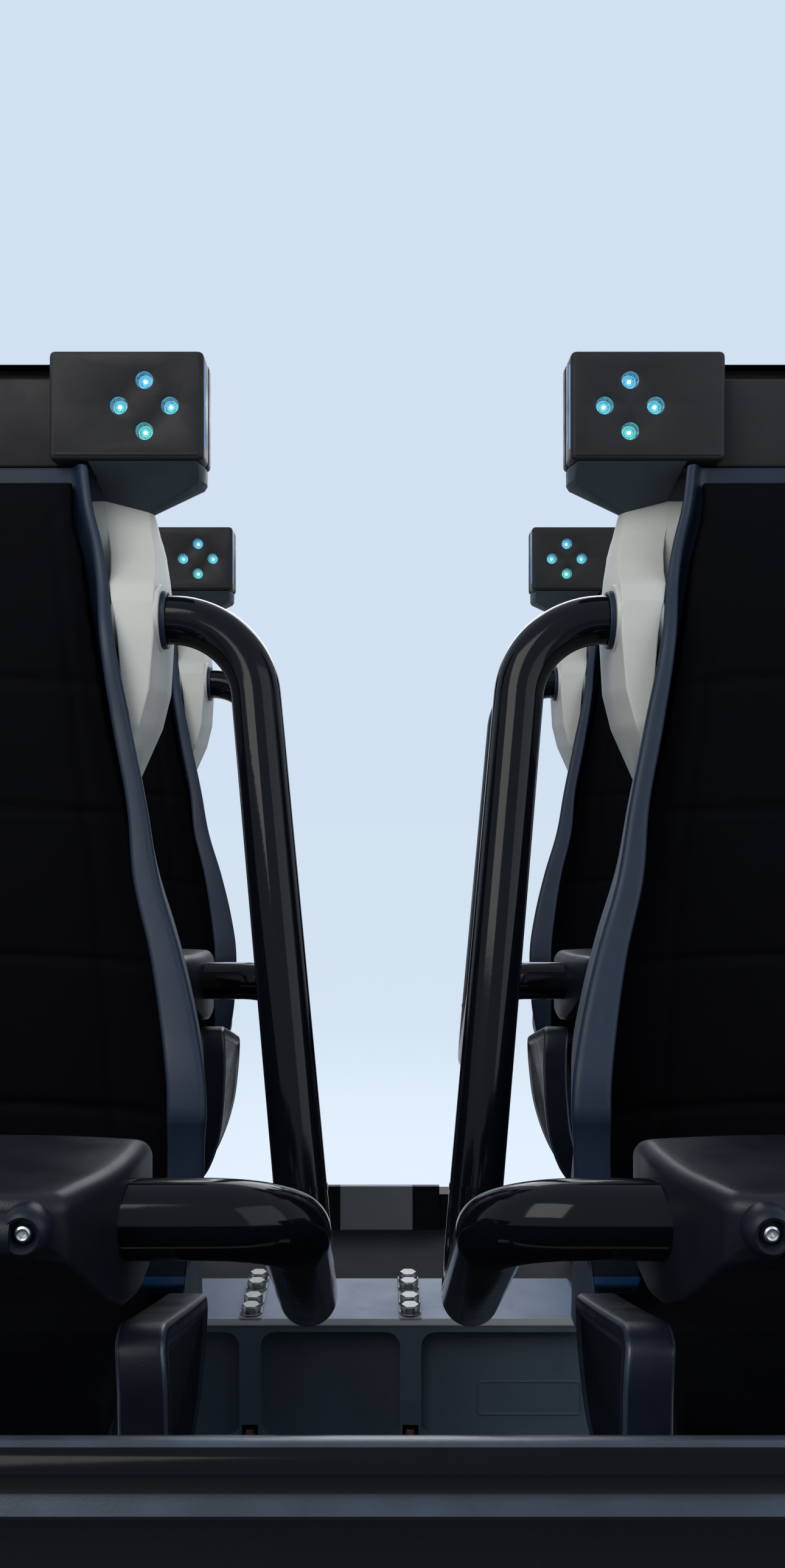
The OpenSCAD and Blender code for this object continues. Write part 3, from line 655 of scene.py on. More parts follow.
class COASTER_OT_seat_shells(Maker):
    """Seat shells: one section carried up the back, a corbel under the lamp boxes and a screwed panel behind"""
    bl_idname, bl_label = "coaster.seat_shells", "Seat shells"
    # height, half width, front face, notch half width, notch depth, rear face
    table = [
        (1000, 184, 40, 170, 40, 112), (1150, 184, 40, 170, 40, 130), (1300, 184, 40, 170, 40, 136),
        (1420, 180, 40, 166, 40, 140), (1502, 167, 40, 154, 40, 140), (1560, 154, 40, 142, 40, 139),
        (1590, 149, 40, 139, 40, 139), (1600, 151, 28, 143, 40, 139), (1620, 160, -8, 151, 40, 139),
        (1640, 169, -40, 158, 40, 138.5), (1660, 178, -46, 160, 40, 138.5), (1700, 188, -42, 153, 40, 138),
        (1760, 192, -37, 147, 40, 134), (1795, 191, -32, 140, 40, 131),
        (1815, 190, -19, 135, 40, 129), (1830, 188.5, 0, 133, 40, 128), (1850, 185, 21, 129, 40, 126),
        (1857, 184, 27, 127.6, 40, 125.5), (1871, 180, 38, 124, 40, 124.5), (1880, 177, 44, 121, 44.2, 124),
        (1900, 172, 58, 116, 58.2, 122), (1906, 170, 63, 115, 63.2, 121), (1907, 171, 62, 114.6, 62.2, 121),
        (1933, 229, 28, 111, 40, 118),
        (1937, 232, 23, 110, 40, 117), (1951, 233, 5, 107.7, 40, 115), (1952.6, 232, 3, 107.4, 40, 114),
        (1952.8, 213, 66, 107.4, 66.2, 114),
        (2003, 213, 66.2, 80, 66.4, 112),
        (2049, 206, 66.2, 80, 66.4, 102), (2066, 192, 66.6, 80, 66.8, 92), (2071, 180, 67.6, 80, 67.8, 84),
    ]

    def make(self, sizes):
        rings = []
        t = np.array(self.table)
        z = np.unique(np.concatenate([t[:, 0], np.linspace(1000, 1850, 70)]))
        cols = [np.interp(z, t[:, 0], t[:, k]) for k in range(1, 6)]
        for zz, h, f, n, d, r in zip(z, *cols):
            bevel = min(45, max(2, (r - 46 - f) / 2))
            out = [(n, d), (n, f), (h - 5, f), (h, f + bevel), (h, r - 46), (h * 0.86, r - 16), (h * 0.5, r - 2)]
            ring = out + [(-a, b) for a, b in out[::-1]]
            radii = [2, 2, 3, 8, 26, 26, 20]
            p = place(fillet(ring, radii + radii[::-1], 5), zz, "z")
            lift = np.interp(zz, [1860, 1906, 1952.6], [0, 1, 0]) * np.clip((90 - p[:, 1]) / 30, 0, 1)
            p[:, 2] += 19 * lift * np.clip((171 - np.abs(p[:, 0])) / 66, 0, 1)
            rings.append(p)
        # the corbel band from z 1906 to 1952.5 takes the dark corbel finish as painted shade
        low, high = np.searchsorted(z, [1905.9, 1952.5])
        form = Form().rings(rings[:low + 1], 0, (True, False)).rings(rings[low:high + 1], 1, (False, False))
        form.rings(rings[high:], 2, (False, True))
        back = t[t[:, 0] < 1770]
        plan = fillet([(-80, 1240), (80, 1240), (84, 1560), (70, 1690), (-70, 1690), (-84, 1560)], 16, 7)
        panel = []
        for d, h in ((-1.5, -5), (-1.5, -2.2), (0, -2.2), (0, 0.4), (1.2, 1.0), (90, 1.0)):
            q = inset(plan, d) if d < 50 else plan.mean(0) + (plan - plan.mean(0)) * 0.6
            rear = np.interp(q[:, 1], back[:, 0], back[:, 5]) - 2 + h
            panel.append(np.stack([q[:, 0], rear, q[:, 1]], 1))
        form.rings(panel, 0, (False, True))
        for u, zz in [(a * s, b) for s in (-1, 1) for a, b in ((68, 1256), (72, 1400), (72, 1545), (58, 1674))]:
            rear = np.interp(zz, back[:, 0], back[:, 5])
            form.rings(turned([(0.3, -4), (6.2, -4), (6.2, 0.6), (5.2, 2), (2.6, 2.2), (2.4, 0.4), (0.3, 0.4)],
                              (u, rear - 1, zz), "y", 20), 3)
        form.copied(SEAT_SHIFTS).build("seat_shell_set", "car", ["shell", "corbel", "box", "zinc"], "pale_shell",
                                       ["seat_shells"], sharp=24)


class COASTER_OT_headrests(Maker):
    """Headrests: two soft-edged lamp boxes and a recessed middle, with seams, lamps in bezels and a lit line"""
    bl_idname, bl_label = "coaster.headrests", "Headrests and lamps"

    def make(self, sizes):
        form, lamps = Form(), Form()
        r = sizes.lamp_radius * 1000
        hole = r + 1.5
        box = fillet(rect(HEAD_GAP, BOX_Z, HEAD_HALF, HEAD_TOP), 7)
        cx, cz = HEAD_HALF - 65, BOX_Z + 60
        mids = [(cx, BOX_Z), (HEAD_HALF, cz), (cx, HEAD_TOP), (HEAD_GAP, cz)]
        face = np.concatenate([np.r_[box[5 * k:5 * k + 5], [mids[k]]] for k in range(4)])
        body = slab(face, 0, 44, 5, "y")
        form.rings(body, 0, (False, True))
        rim = body[0][:, [0, 2]]
        spots = [(cx + a * LAMP_STEP, cz + b * LAMP_STEP) for a, b in ((0, -1), (1, 0), (0, 1), (-1, 0))]
        for k in range(4):
            # one quarter of the face, from the middle out along one arm of the lamp diamond and back along the other
            a, b = np.array(spots[k - 1]), np.array(spots[k])
            t = math.atan2(a[1] - cz, a[0] - cx) + np.linspace(math.pi, 0, 13)[:, None]
            near = a + (hole + 0.7) * np.c_[np.cos(t), np.sin(t)]
            t = math.atan2(b[1] - cz, b[0] - cx) - np.linspace(0, math.pi, 13)[:, None]
            far = b + (hole + 0.7) * np.c_[np.cos(t), np.sin(t)]
            edge = rim[np.arange(6 * k - 1, 6 * k + 6) % 24]
            form.rings([place(np.concatenate([[(cx, cz)], near, edge, far]), 0, "y")], 0, (False, True))
        for x, z in spots:
            form.rings(turned([(hole + 0.7, 0), (hole + 0.2, 0.2), (hole, 0.8), (hole, 3)], (x, 0, z), "y", 24), 0,
                       (False, False))
        form.rings(slab(inset(box, 2.2), 40, 48, 0.5, "y", 2))
        form.rings(slab(box, 46, 66, 3, "y"))
        lip = fillet(rect(HEAD_GAP + 6, BOX_Z + 5, HEAD_HALF - 6, BOX_Z + 8), 1)
        form.rings(slab(lip, -0.9, 3, 0.6, "y", 3))
        form.mirrored()
        mid = fillet(rect(-HEAD_GAP - 3, BOX_Z, HEAD_GAP + 3, BOX_Z + 100), 4)
        form.rings(slab(mid, 36, 66, 3, "y"))
        form.copied(SEAT_SHIFTS).build("headrest_set", "car", ["box"], "satin_black", ["headrests"])
        # each lamp from its rim to its middle: material, points round it, then radius and depth
        # the bore round the lens, material 0, glows as painted light from its lamp
        steps = ((0, 32, [(hole - 0.2, 2.4), (hole - 0.2, 13), (r * 0.9, 13.2)]),
                 (1, 32, [(r * 0.9, 13.2), (r * 0.9, 11), (r * 0.84, 10.4), (r * 0.76, 10.4)]),
                 (4, 32, [(r * 0.76, 10.4), (r * 0.72, 11.4), (r * 0.56, 11.4)]),
                 (1, 32, [(r * 0.56, 11.4), (r * 0.54, 10), (r * 0.46, 9.4), (r * 0.4, 9.4)]),
                 (4, 32, [(r * 0.4, 9.4), (r * 0.37, 10.2), (r * 0.28, 10.2)]),
                 (2, 24, [(r * 0.28, 10.2), (r * 0.26, 8.8), (r * 0.18, 8.2), (0.2, 8.0)]))
        for x, z in spots:
            for kind, n, profile in steps:
                lamps.rings(turned(profile, (x, 0, z), "y", n), kind, (False, kind == 2))
        line = [(HEAD_HALF + 0.2, 8.0, BOX_Z + 14), (HEAD_HALF + 0.2, 8.0, HEAD_TOP - 14)]
        lamps.rings(swept(np.linspace(*np.array(line), 6), 0.7, 8, (1, 0, 0)), 3)
        lamps.mirrored().copied(SEAT_SHIFTS).build(
            "headrest_lamp_set", "car", ["well", "lamp", "core", "line", "groove"], "lamp_lens", ["headrest_lamps"])


class COASTER_OT_hinge_collars(Maker):
    """Collars round the restraint shafts and the catch blocks at the hips"""
    bl_idname, bl_label = "coaster.hinge_collars", "Collars and catch blocks"

    def make(self, sizes):
        r = sizes.tube_radius * 1000
        form = Form()
        housing = [(r + 0.4, 140), (38.4, 140), (38.4, 181), (39, 183), (39, 188), (37.8, 190), (r + 0.4, 190)]
        ring = [(r + 0.6, 189), (32, 189), (32, 194.6), (31, 196), (r + 2.0, 196), (r + 0.6, 194.8)]
        for kind, profile in enumerate((housing, ring)):
            form.rings(turned(profile, (0, *PIVOT), "x", 64), kind, (False, False), loop=True)
        form.mirrored().copied(SEAT_SHIFTS).build("hinge_collar_set", "car", ["shell", "bolster"], "satin_black",
                                                  ["pivot_housings"])
        side = fillet([(-190, 1118), (-204, 1120), (-212, 1132), (-212, 1158), (-190, 1158)], 5)
        block = Form().rings(slab(side, 200, 248, 6, "x"))
        # the lower rim of each catch block takes the blue finish as a painted sky reflection
        rim = fillet([(-193, 1117.6), (-203, 1119.6), (-211.6, 1131), (-212.2, 1140), (-206, 1128), (-193, 1123)], 2)
        block.rings(slab(rim, 199.4, 248.6, 2, "x"), 1)
        for q in block.points:
            k = (q[:, 2] - 1118) / 40
            q[:, 0] = 224 + (q[:, 0] - 224) * (0.72 + 0.28 * np.clip(k, 0, 1) ** 0.6)
        block.mirrored().copied(SEAT_SHIFTS).build("catch_block_set", "car", ["satin", "blue"], "satin_black",
                                                   ["latch_blocks"])


class COASTER_OT_restraint_tubes(Maker):
    """Restraint tubes: a circle carried along straight runs and true arcs, with a seam above the lower bend"""
    bl_idname, bl_label = "coaster.restraint_tubes", "Restraint tubes"

    def make(self, sizes):
        r = sizes.tube_radius * 1000
        steps = 22
        path = bent(ARM, ARM_BEND, steps)
        for k, t, x, y in SEATS:
            form = Form().rings(swept(path, r, 56))
            start, d = path[steps + 1], path[steps + 1] - path[steps]
            d = d / np.linalg.norm(d)
            seam = [(-20, -0.5), (-19.6, 0.7), (-13.4, 0.7), (-13, -0.5)]
            line = np.array([start + d * a for a, _ in seam])
            form.rings(swept(line, r + np.array([b for _, b in seam]), 56))
            form.mirrored().copied([(x, y, 0)]).build(f"restraint_tube_{k}{t}", f"restraint_{k}{t}", ["tube"],
                                                      "gloss_black_tube", [f"restraint_tubes_{k}{t}"])


def pad_top(u, y):
    """Height of the lap pad's upper skin: crest at y -530, a ridge at -612, falling to the front brow."""
    z = np.interp(y, [-652, -634, -612, -575, -530, -480, -450, -430, -419],
                  [1355, 1355, 1354, 1351, 1349, 1345, 1336, 1320, 1300])
    return z - 4.0 * np.clip((np.abs(u) - 150) / 108, 0, 1) ** 2


def pad_under(u, y):
    """Height of the lap pad's underside: two thigh arches and a deeper rear edge."""
    arch = np.interp(y, [-652, -644, -620, -570, -500, -440, -419], [1322, 1314, 1300, 1288, 1282, 1280, 1284])
    skirt = np.interp(y, [-652, -644, -620, -590, -560, -520, -480, -440, -419],
                      [1322, 1308, 1288, 1266, 1250, 1243, 1243, 1248, 1266])
    share = np.interp(np.abs(u), [0, 50, 100, 170, 205, 228, 243, 258], [0.5, 0.45, 0.1, 0, 0.1, 0.4, 0.95, 1])
    return arch + (skirt - arch) * share


class COASTER_OT_lap_pads(Maker):
    """Lap pads: rings of one plan outline shrunk to the middle, lifted to the skins, with handle, screws and tongue"""
    bl_idname, bl_label = "coaster.lap_pads", "Lap pads"

    def make(self, sizes):
        half = [(216, -652), (235, -645), (247, -604), (256, -556), (258, -520), (256, -446), (238, -419)]
        plan = [(0, -652)] + half + [(0, -419)] + [(-a, b) for a, b in half[::-1]]
        radii = [9, 5, 18, 18, 18, 18, 14]
        o = fillet(plan, [1] + radii + [1] + radii[::-1], 6)
        n = 240
        s = np.r_[0, np.cumsum(np.linalg.norm(np.roll(o, -1, 0) - o, axis=1))]
        even = np.linspace(0, s[-1], n, endpoint=False)
        o = np.stack([np.interp(even, s, np.r_[o[:, k], o[0, k]]) for k in (0, 1)], 1)
        r = sizes.pad_rounding * 1000
        arc = [(1 - math.cos(q), 1 - math.sin(q)) for q in np.linspace(0, math.pi / 2, 7)]
        inner = []
        for e in (6.0, r):
            rim = inset(o, e)
            spine = np.stack([np.clip(rim[:, 0], -150, 150), np.full(n, -535.0)], 1)
            inner.append([spine + (rim - spine) * f for f in np.linspace(0, 1, 19)[:-1]])
        rings = [(p, pad_under(*p.T)) for p in inner[0]]
        for e, drop in arc[::-1]:
            p = inset(o, e * 6)
            rings.append((p, pad_under(*p.T) + drop * 6))
        for e, drop in arc:
            p = inset(o, e * r)
            zt, zb = pad_top(*p.T), pad_under(*o.T)
            rings.append((p, np.maximum(zt - drop * r, zb + 6 + (zt - zb - 6) * 0.5 * (1 - drop))))
        rings += [(p, pad_top(*p.T)) for p in inner[1][::-1]]
        grid = np.array([np.c_[p, z] for p, z in rings])
        for k, t, x, y in SEATS:
            body = f"restraint_{k}{t}"
            pad = Form().rings(grid).copied([(x, y, 0)]).build(f"lap_pad_skin_{k}{t}", body, ["lap"],
                                                               "black_moulding", [f"lap_pad_{k}{t}"], sharp=60)
            bar = Form()
            path = np.array([(u, HANDLE_Y, HANDLE_Z) for u in np.linspace(-206, 206, 30)])
            bar.rings(swept(path, 13.4, 28, (0, 0, 1)))
            end, boss = Form(), (BOSS_U, 0, HANDLE_Z + 2)
            end.rings(turned([(0.3, -656), (6.6, -656), (7.4, -657), (8.2, -661.6), (9.4, -663.6), (11, -664),
                              (13.4, -662.4), (15, -659.4), (15.8, -655), (15.8, -632), (0.3, -632)],
                             boss, "y", 36))
            end.rings(turned([(0.3, -657.6), (2.3, -657.6), (2.5, -661.2), (3.6, -661.6), (4.8, -661), (5.2, -659.6),
                              (5.2, -656)], boss, "y", 24), 1, (True, False))
            end.mirrored()
            bar.join(end)
            bar.copied([(x, y, 0)]).build(f"lap_handle_{k}{t}", body, ["satin", "machined"], "black_moulding")
            tongue = fillet([(-446, 1240), (-438, 1276), (-584, 1276), (-572, 1226), (-548, 1202), (-510, 1194),
                             (-468, 1204)], 12)
            Form().rings(slab(tongue, -34, 34, 9, "x")).copied([(x, y, 0)]).build(
                f"lap_tongue_{k}{t}", body, ["lap"], "black_moulding")


class COASTER_OT_leg_wings(Maker):
    """Leg wings: a leaf outline carried across its thickness, bowed inwards at the bottom, with a sunk panel"""
    bl_idname, bl_label = "coaster.leg_wings", "Leg wings"

    def make(self, sizes):
        leaf = [(-390, 1194), (-480, 1219), (-566, 1243), (-584, 1236), (-591, 1215), (-592, 1150), (-582, 1070),
                (-558, 1016), (-524, 1000), (-470, 1001), (-425, 1034), (-397, 1088), (-385, 1150), (-384, 1184)]
        side = fillet(leaf, [8, 60, 10, 8, 10, 30, 30, 20, 20, 24, 30, 30, 30, 8], 6)
        grid = slab(side, WING_OUT - WING_T, WING_OUT, 5, "x", 5, panel=(11, 2.4))
        grid[..., 0] += along(grid[..., 2], [990, 1000, 1036, 1086, 1140, 1216, 1246], [-50, -46, -25, -8, -1, 0, -4])
        kinds = np.zeros((len(grid) - 1, len(side)), int)
        # painted highlight: the panel's step and the middle of the edge rounding on both faces take the paler finish
        kinds[[0, 3, 4, -5, -4, -1]] = 1
        form = Form().rings(grid, kinds)
        form.rings(slab(fillet(rect(-430, 1013, -384, 1053), 6), 232.2, 250, 3, "x"))
        form.mirrored().copied(SEAT_SHIFTS).build("leg_wing_set", "car", ["satin", "trim"],
                                                  "satin_black", ["leg_wings"], sharp=40)


def fascia_line(d, half=154.0, n=16):
    """Plan of the fascia at an offset d: straight sides, two quarter circles and a straight front, with points
    50 to 109 of the front on the inset's half width."""
    a = np.linspace(math.pi, 1.5 * math.pi, n)
    x0 = FAS_HALF - FAS_R
    left = np.stack([-x0 + (FAS_R + d) * np.cos(a), FAS_Y + FAS_R + (FAS_R + d) * np.sin(a)], 1)
    x = np.r_[np.linspace(-x0, -half - 3, 50), np.linspace(-half, half, 60), np.linspace(half + 3, x0, 50)]
    front = np.stack([x, np.full(160, FAS_Y - d)], 1)
    right = left[::-1] * (-1, 1)
    side = np.stack([np.full(4, -FAS_HALF - d), np.linspace(FAS_END, FAS_Y + FAS_R, 4)], 1)
    return np.concatenate([side[:-1], left[:-1], front, right[1:], (side[::-1] * (-1, 1))[1:]])


class COASTER_OT_front_fascia(Maker):
    """Front fascia: a wall profile with a rolled lip, two bands and a lower roll carried round its plan; the top of
    the lip and the bevels of the bands get a paler finish as a painted highlight"""
    bl_idname, bl_label = "coaster.front_fascia", "Front fascia"

    def make(self, sizes):
        top, bot = FAS_TOP, FAS_BOT
        upper = np.linspace(math.pi * 0.95, -math.pi * 0.17, 18)
        lower = np.linspace(math.pi * 0.35, -math.pi * 1.05, 14)
        roll = [(-3 + ROLL * math.cos(a), top - ROLL + ROLL * math.sin(a)) for a in upper]
        low = [(-4 + FOOT_ROLL * math.cos(a), bot + FOOT_ROLL * (1 + math.sin(a))) for a in lower]
        wall = [(3, top - 21), (3.4, top - 22), (8.2, top - 30), (8.8, top - 32), (8.8, top - 112), (6, top - 116),
                (0, top - 117), (0, 1166), (0, 1163), (0, 1120), (0, 1010), (0, 961), (0, 958), (0, bot + 169),
                (6, bot + 166), (8, bot + 163), (8, bot + 60), (6, bot + 57), (0, bot + 54)]
        inner = [(-20, bot + 20), (-20, bot + 120), (-20, top - 120), (-20, top - 20)]
        prof = np.array(roll + wall + low + inner)
        lines = []
        for d, z in prof:
            p = fascia_line(d, np.interp(z, [961, 1163], [147, 161]))
            if d > -1 and 960 < z < 1164:
                p[68:128, 1] += 4
            lines.append(np.c_[p, np.full(len(p), z)])
        grid = np.array(lines).transpose(1, 0, 2)
        kinds = np.zeros((len(grid) - 1, len(prof)), int)
        # painted highlight: rows 5 to 8 of the lip's roll and three bevel rows take the paler finish
        kinds[:, 5:9] = 1
        kinds[:, [len(roll) + 1, len(roll) + 4, len(roll) + 13]] = 1
        Form().rings(grid, kinds).build("front_fascia_skin", "car", ["fascia", "trim"], "gloss_black_shell",
                                        ["front_fascia"], sharp=50)


class COASTER_OT_beam_fittings(Maker):
    """Bolt strips, hex bolts, washers, rib bolts and a blank embossed plate on the cross beam"""
    bl_idname, bl_label = "coaster.beam_fittings", "Cross beam fittings"

    def make(self, sizes):
        flats = sizes.bolt_flats * 1000
        form = Form()
        top = BEAM_TOP
        for x in RIBS:
            strip = fillet(rect(x - 15.5, BEAM_Y + 3, x + 15.5, BEAM_Y + BEAM_W - 3), 4)
            form.rings(slab(strip, top, top + 3, 1, "z", 3), 3)
            for y in (BEAM_Y + 19, BEAM_Y + 53, BEAM_Y + 106, BEAM_Y + 138):
                form.rings(turned([(7, top + 3), (15, top + 3), (15, top + 5.6), (14.4, top + 6.2), (7, top + 6.2)],
                                  (x, y, 0), "z", 28), 1, (False, False), loop=True)
                form.rings(hexagon(flats, top + 6.2, top + 16, (x, y), "z"), 1)
            form.rings(hexagon(17, -BEAM_Y - 12, -BEAM_Y - 3, (x, FLOOR_Z + 41), "y") * (1, -1, 1), 1)
            form.rings(turned([(0.3, 0), (5, 0), (4.4, -2.4), (0.3, -3)], (x, BEAM_Y + 3.2, FLOOR_Z + 41), "y", 16), 2)
        edge = np.array(rect(129, 718, 273, 766), float)
        raised = [place(fillet(inset(edge, d), 6), BEAM_Y + h, "y")
                  for d, h in ((0, 28.4), (0, 27.3), (0.8, 26.8), (2.2, 26.8), (3.0, 27.3), (3.0, 28.4))]
        form.rings(raised, 0, (False, False), loop=True)
        # painted highlight: a pale strip along the beam's front top edge stands in for the light line on that edge
        edge = fillet([(BEAM_Y - 1.2, top - 7), (BEAM_Y + 6, top - 0.5), (BEAM_Y + 9, top - 0.5),
                       (BEAM_Y + 9, top + 1), (BEAM_Y + 5, top + 1.4), (BEAM_Y - 1.2, top - 4.5)], 1)
        form.rings(slab(edge, -BEAM_HALF + 25, BEAM_HALF - 25, 0.4, "x", 2), 3)
        form.build("beam_bolt_set", "car", ["steel", "bolt", "red", "plate"], "grey_steel")


class COASTER_OT_pads(Maker):
    """Back pads and seat cushions: the CAD solid remeshed, swollen under pressure, smoothed and channelled"""
    bl_idname, bl_label = "coaster.pads", "Back pads and cushions"

    def swell(self, node, name, shrink, cap):
        """One seat's solid, swollen by a cloth simulation; make copies it to the four seats."""
        x0, y0 = -ROWS[1][0] * 0.001, ROWS[1][1] * 0.001
        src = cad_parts[node].data
        bm = bmesh.new()
        bm.from_mesh(src)
        bmesh.ops.remove_doubles(bm, verts=bm.verts, dist=1e-5)
        far = [v for v in bm.verts if abs(v.co.x - x0) > 0.3 or abs(v.co.y - y0 + 0.2) > 0.45]
        bmesh.ops.delete(bm, geom=far, context="VERTS")
        me = bpy.data.meshes.new(name)
        bm.to_mesh(me)
        bm.free()
        ob, co = linked(name, me), points_of(me)
        mid = (co.min(0) + co.max(0)) / 2
        me.vertices.foreach_set("co", (mid + (co - mid) * shrink).ravel())
        bpy.context.view_layer.objects.active = ob
        ob.data.remesh_voxel_size = 0.006
        ob.data.remesh_voxel_adaptivity = 0
        with bpy.context.temp_override(object=ob, active_object=ob, selected_objects=[ob]):
            bpy.ops.object.voxel_remesh()
        me = ob.data
        rest = points_of(me)
        cloth = ob.modifiers.new("Cloth", "CLOTH")
        cloth.settings.quality = 5
        cloth.settings.use_pressure = True
        cloth.settings.uniform_pressure_force = 4.0
        cloth.settings.effector_weights.gravity = 0.0
        cloth.settings.tension_stiffness = cloth.settings.compression_stiffness = 40
        for f in range(1, 21):
            bpy.context.scene.frame_set(f)
        move = points_of(ob.evaluated_get(bpy.context.evaluated_depsgraph_get()).data) - rest
        ob.modifiers.remove(cloth)
        bpy.context.scene.frame_set(1)
        size = np.linalg.norm(move, axis=1, keepdims=True) + 1e-12
        move *= np.minimum(size, cap) / size
        me.vertices.foreach_set("co", (rest + move).ravel())
        me.update()
        return ob

    def make(self, sizes):
        for node, name, shrink, cap in (("back_pads", "back_pad", (0.97, 0.9, 0.98), 0.006),
                                        ("seat_cushions", "seat_cushion", (0.97, 0.97, 0.9), 0.006)):
            ob = self.swell(node, name + "_1l", np.array(shrink), cap)
            me, axis = ob.data, 1 if node == "back_pads" else 2
            co = points_of(me)
            u = (co[:, 0] * 1000 + ROWS[1][0])
            v = co[:, 2] * 1000 if node == "back_pads" else co[:, 1] * 1000 - ROWS[1][1]
            lines = (1240, 1400, 1560, 1700) if node == "back_pads" else (-110, -250)
            dip = sum(np.exp(-((v - l - 12 * np.cos(u / 120)) / 5) ** 2) for l in lines) * 0.004
            side = np.interp(v, [1110, 1500, 1842, 1945], [150, 118, 76, 64]) if node == "back_pads" else 140
            dip += np.exp(-((np.abs(u) - side) / 5) ** 2) * 0.004
            lo, hi = co[:, axis].min(), co[:, axis].max()
            face = (hi - co[:, axis]) / (hi - lo) if axis == 1 else (co[:, axis] - lo) / (hi - lo)
            co[:, axis] += (dip if axis == 1 else -dip) * np.clip(face * 2 - 0.9, 0, 1)
            me.vertices.foreach_set("co", co.ravel())
            me.shade_smooth()
            me.materials.clear()
            me.materials.append(finish("foam"))
            for k, t, x, y in SEATS:
                piece = ob
                if (k, t) != (1, "l"):
                    piece = linked(f"{name}_{k}{t}", me.copy())
                    move = np.array([x + ROWS[1][0], y - ROWS[1][1], 0]) * 0.001
                    piece.data.vertices.foreach_set("co", (co + move).ravel())
                add_subdiv(piece, 1)
                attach(piece, "car")
                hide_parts(node)


def wheel_form(r, w, bore):
    """One wheel about x: tread with rounded shoulders, dished hub and a ring of bolts."""
    h, dish = w / 2, 14
    form = Form()
    half = [(r * 0.78, h - 1), (r * 0.8, h), (r - 7, h), (r - 2, h - 2), (r, h - 7)]
    tread = half + [(a, -b) for a, b in half[::-1]]
    form.rings(turned(tread, (0, 0, 0), "x", 72), 0, (False, False), loop=True)
    half = [(bore, h - 6), (r * 0.33, h - 5), (r * 0.36, h - dish), (r * 0.7, h - dish), (r * 0.745, h - 4),
            (r * 0.785, h - 2)]
    rim = half + [(a, -b) for a, b in half[::-1]]
    form.rings(turned(rim, (0, 0, 0), "x", 72), 1, (False, False), loop=True)
    bolts = Form()
    for a in np.arange(6) * math.pi / 3:
        c = (math.cos(a) * r * 0.53, math.sin(a) * r * 0.53)
        head = hexagon(r * 0.11, h - dish - 0.2, h - dish - 0.2 + r * 0.05, c, "x")
        bolts.rings(head, 2).rings(head * (-1, 1, 1), 2)
    return form.join(bolts)


class COASTER_OT_wheels(Maker):
    """Road, guide and up-stop wheels: turned treads and hubs with bolts"""
    bl_idname, bl_label = "coaster.wheels", "Wheels"

    def make(self, sizes):
        for fy, sx, t in CORNERS:
            y = fy * BOGIE_Y
            jobs = [("stop_wheel_" + t, STOP, (sx * RAIL_X, y, STOP[0]), "x")]
            for k, ab in ((-1, "_a"), (1, "_b")):
                jobs.append((f"road_wheel_{t}{ab}", ROAD, (sx * RAIL_X, y + k * ROAD[4], ROAD[3]), "x"))
                jobs.append((f"guide_wheel_{t}{ab}", GUIDE, (sx * GUIDE_X, y + k * GUIDE[4], GUIDE[3]), "z"))
            for node, (r, w, bore, *_), centre, axis in jobs:
                form = wheel_form(r, w, bore)
                if axis == "z":
                    form.points = [p[:, [1, 2, 0]] for p in form.points]
                form.copied([centre]).build(node + "_dressed", node, ["tread", "machined", "zinc"], "wheel_tread",
                                            [node], sharp=30)


class COASTER_OT_running_gear(Maker):
    """Axle nuts and caps and guide pin caps on the bogies and axle beams"""
    bl_idname, bl_label = "coaster.running_gear", "Axle nuts and pin caps"

    def make(self, sizes):
        for fy, sx, t in CORNERS:
            form = Form()
            for k in (-1, 1):
                c = (0, fy * BOGIE_Y + k * ROAD[4], ROAD[3])
                form.rings(hexagon(46, 595, 607, c[1:], "x") * (sx, 1, 1))
                cap = turned([(0.3, 607), (14, 607), (14, 613), (12, 615), (0.3, 615)], c, "x", 24)
                form.rings(cap * (sx, 1, 1))
                form.rings(hexagon(38, 322, 333, (sx * GUIDE_X, fy * BOGIE_Y + k * GUIDE[4]), "z"))
            form.build("bogie_nuts_" + t, "bogie_" + t, ["zinc"], "bogie_paint")


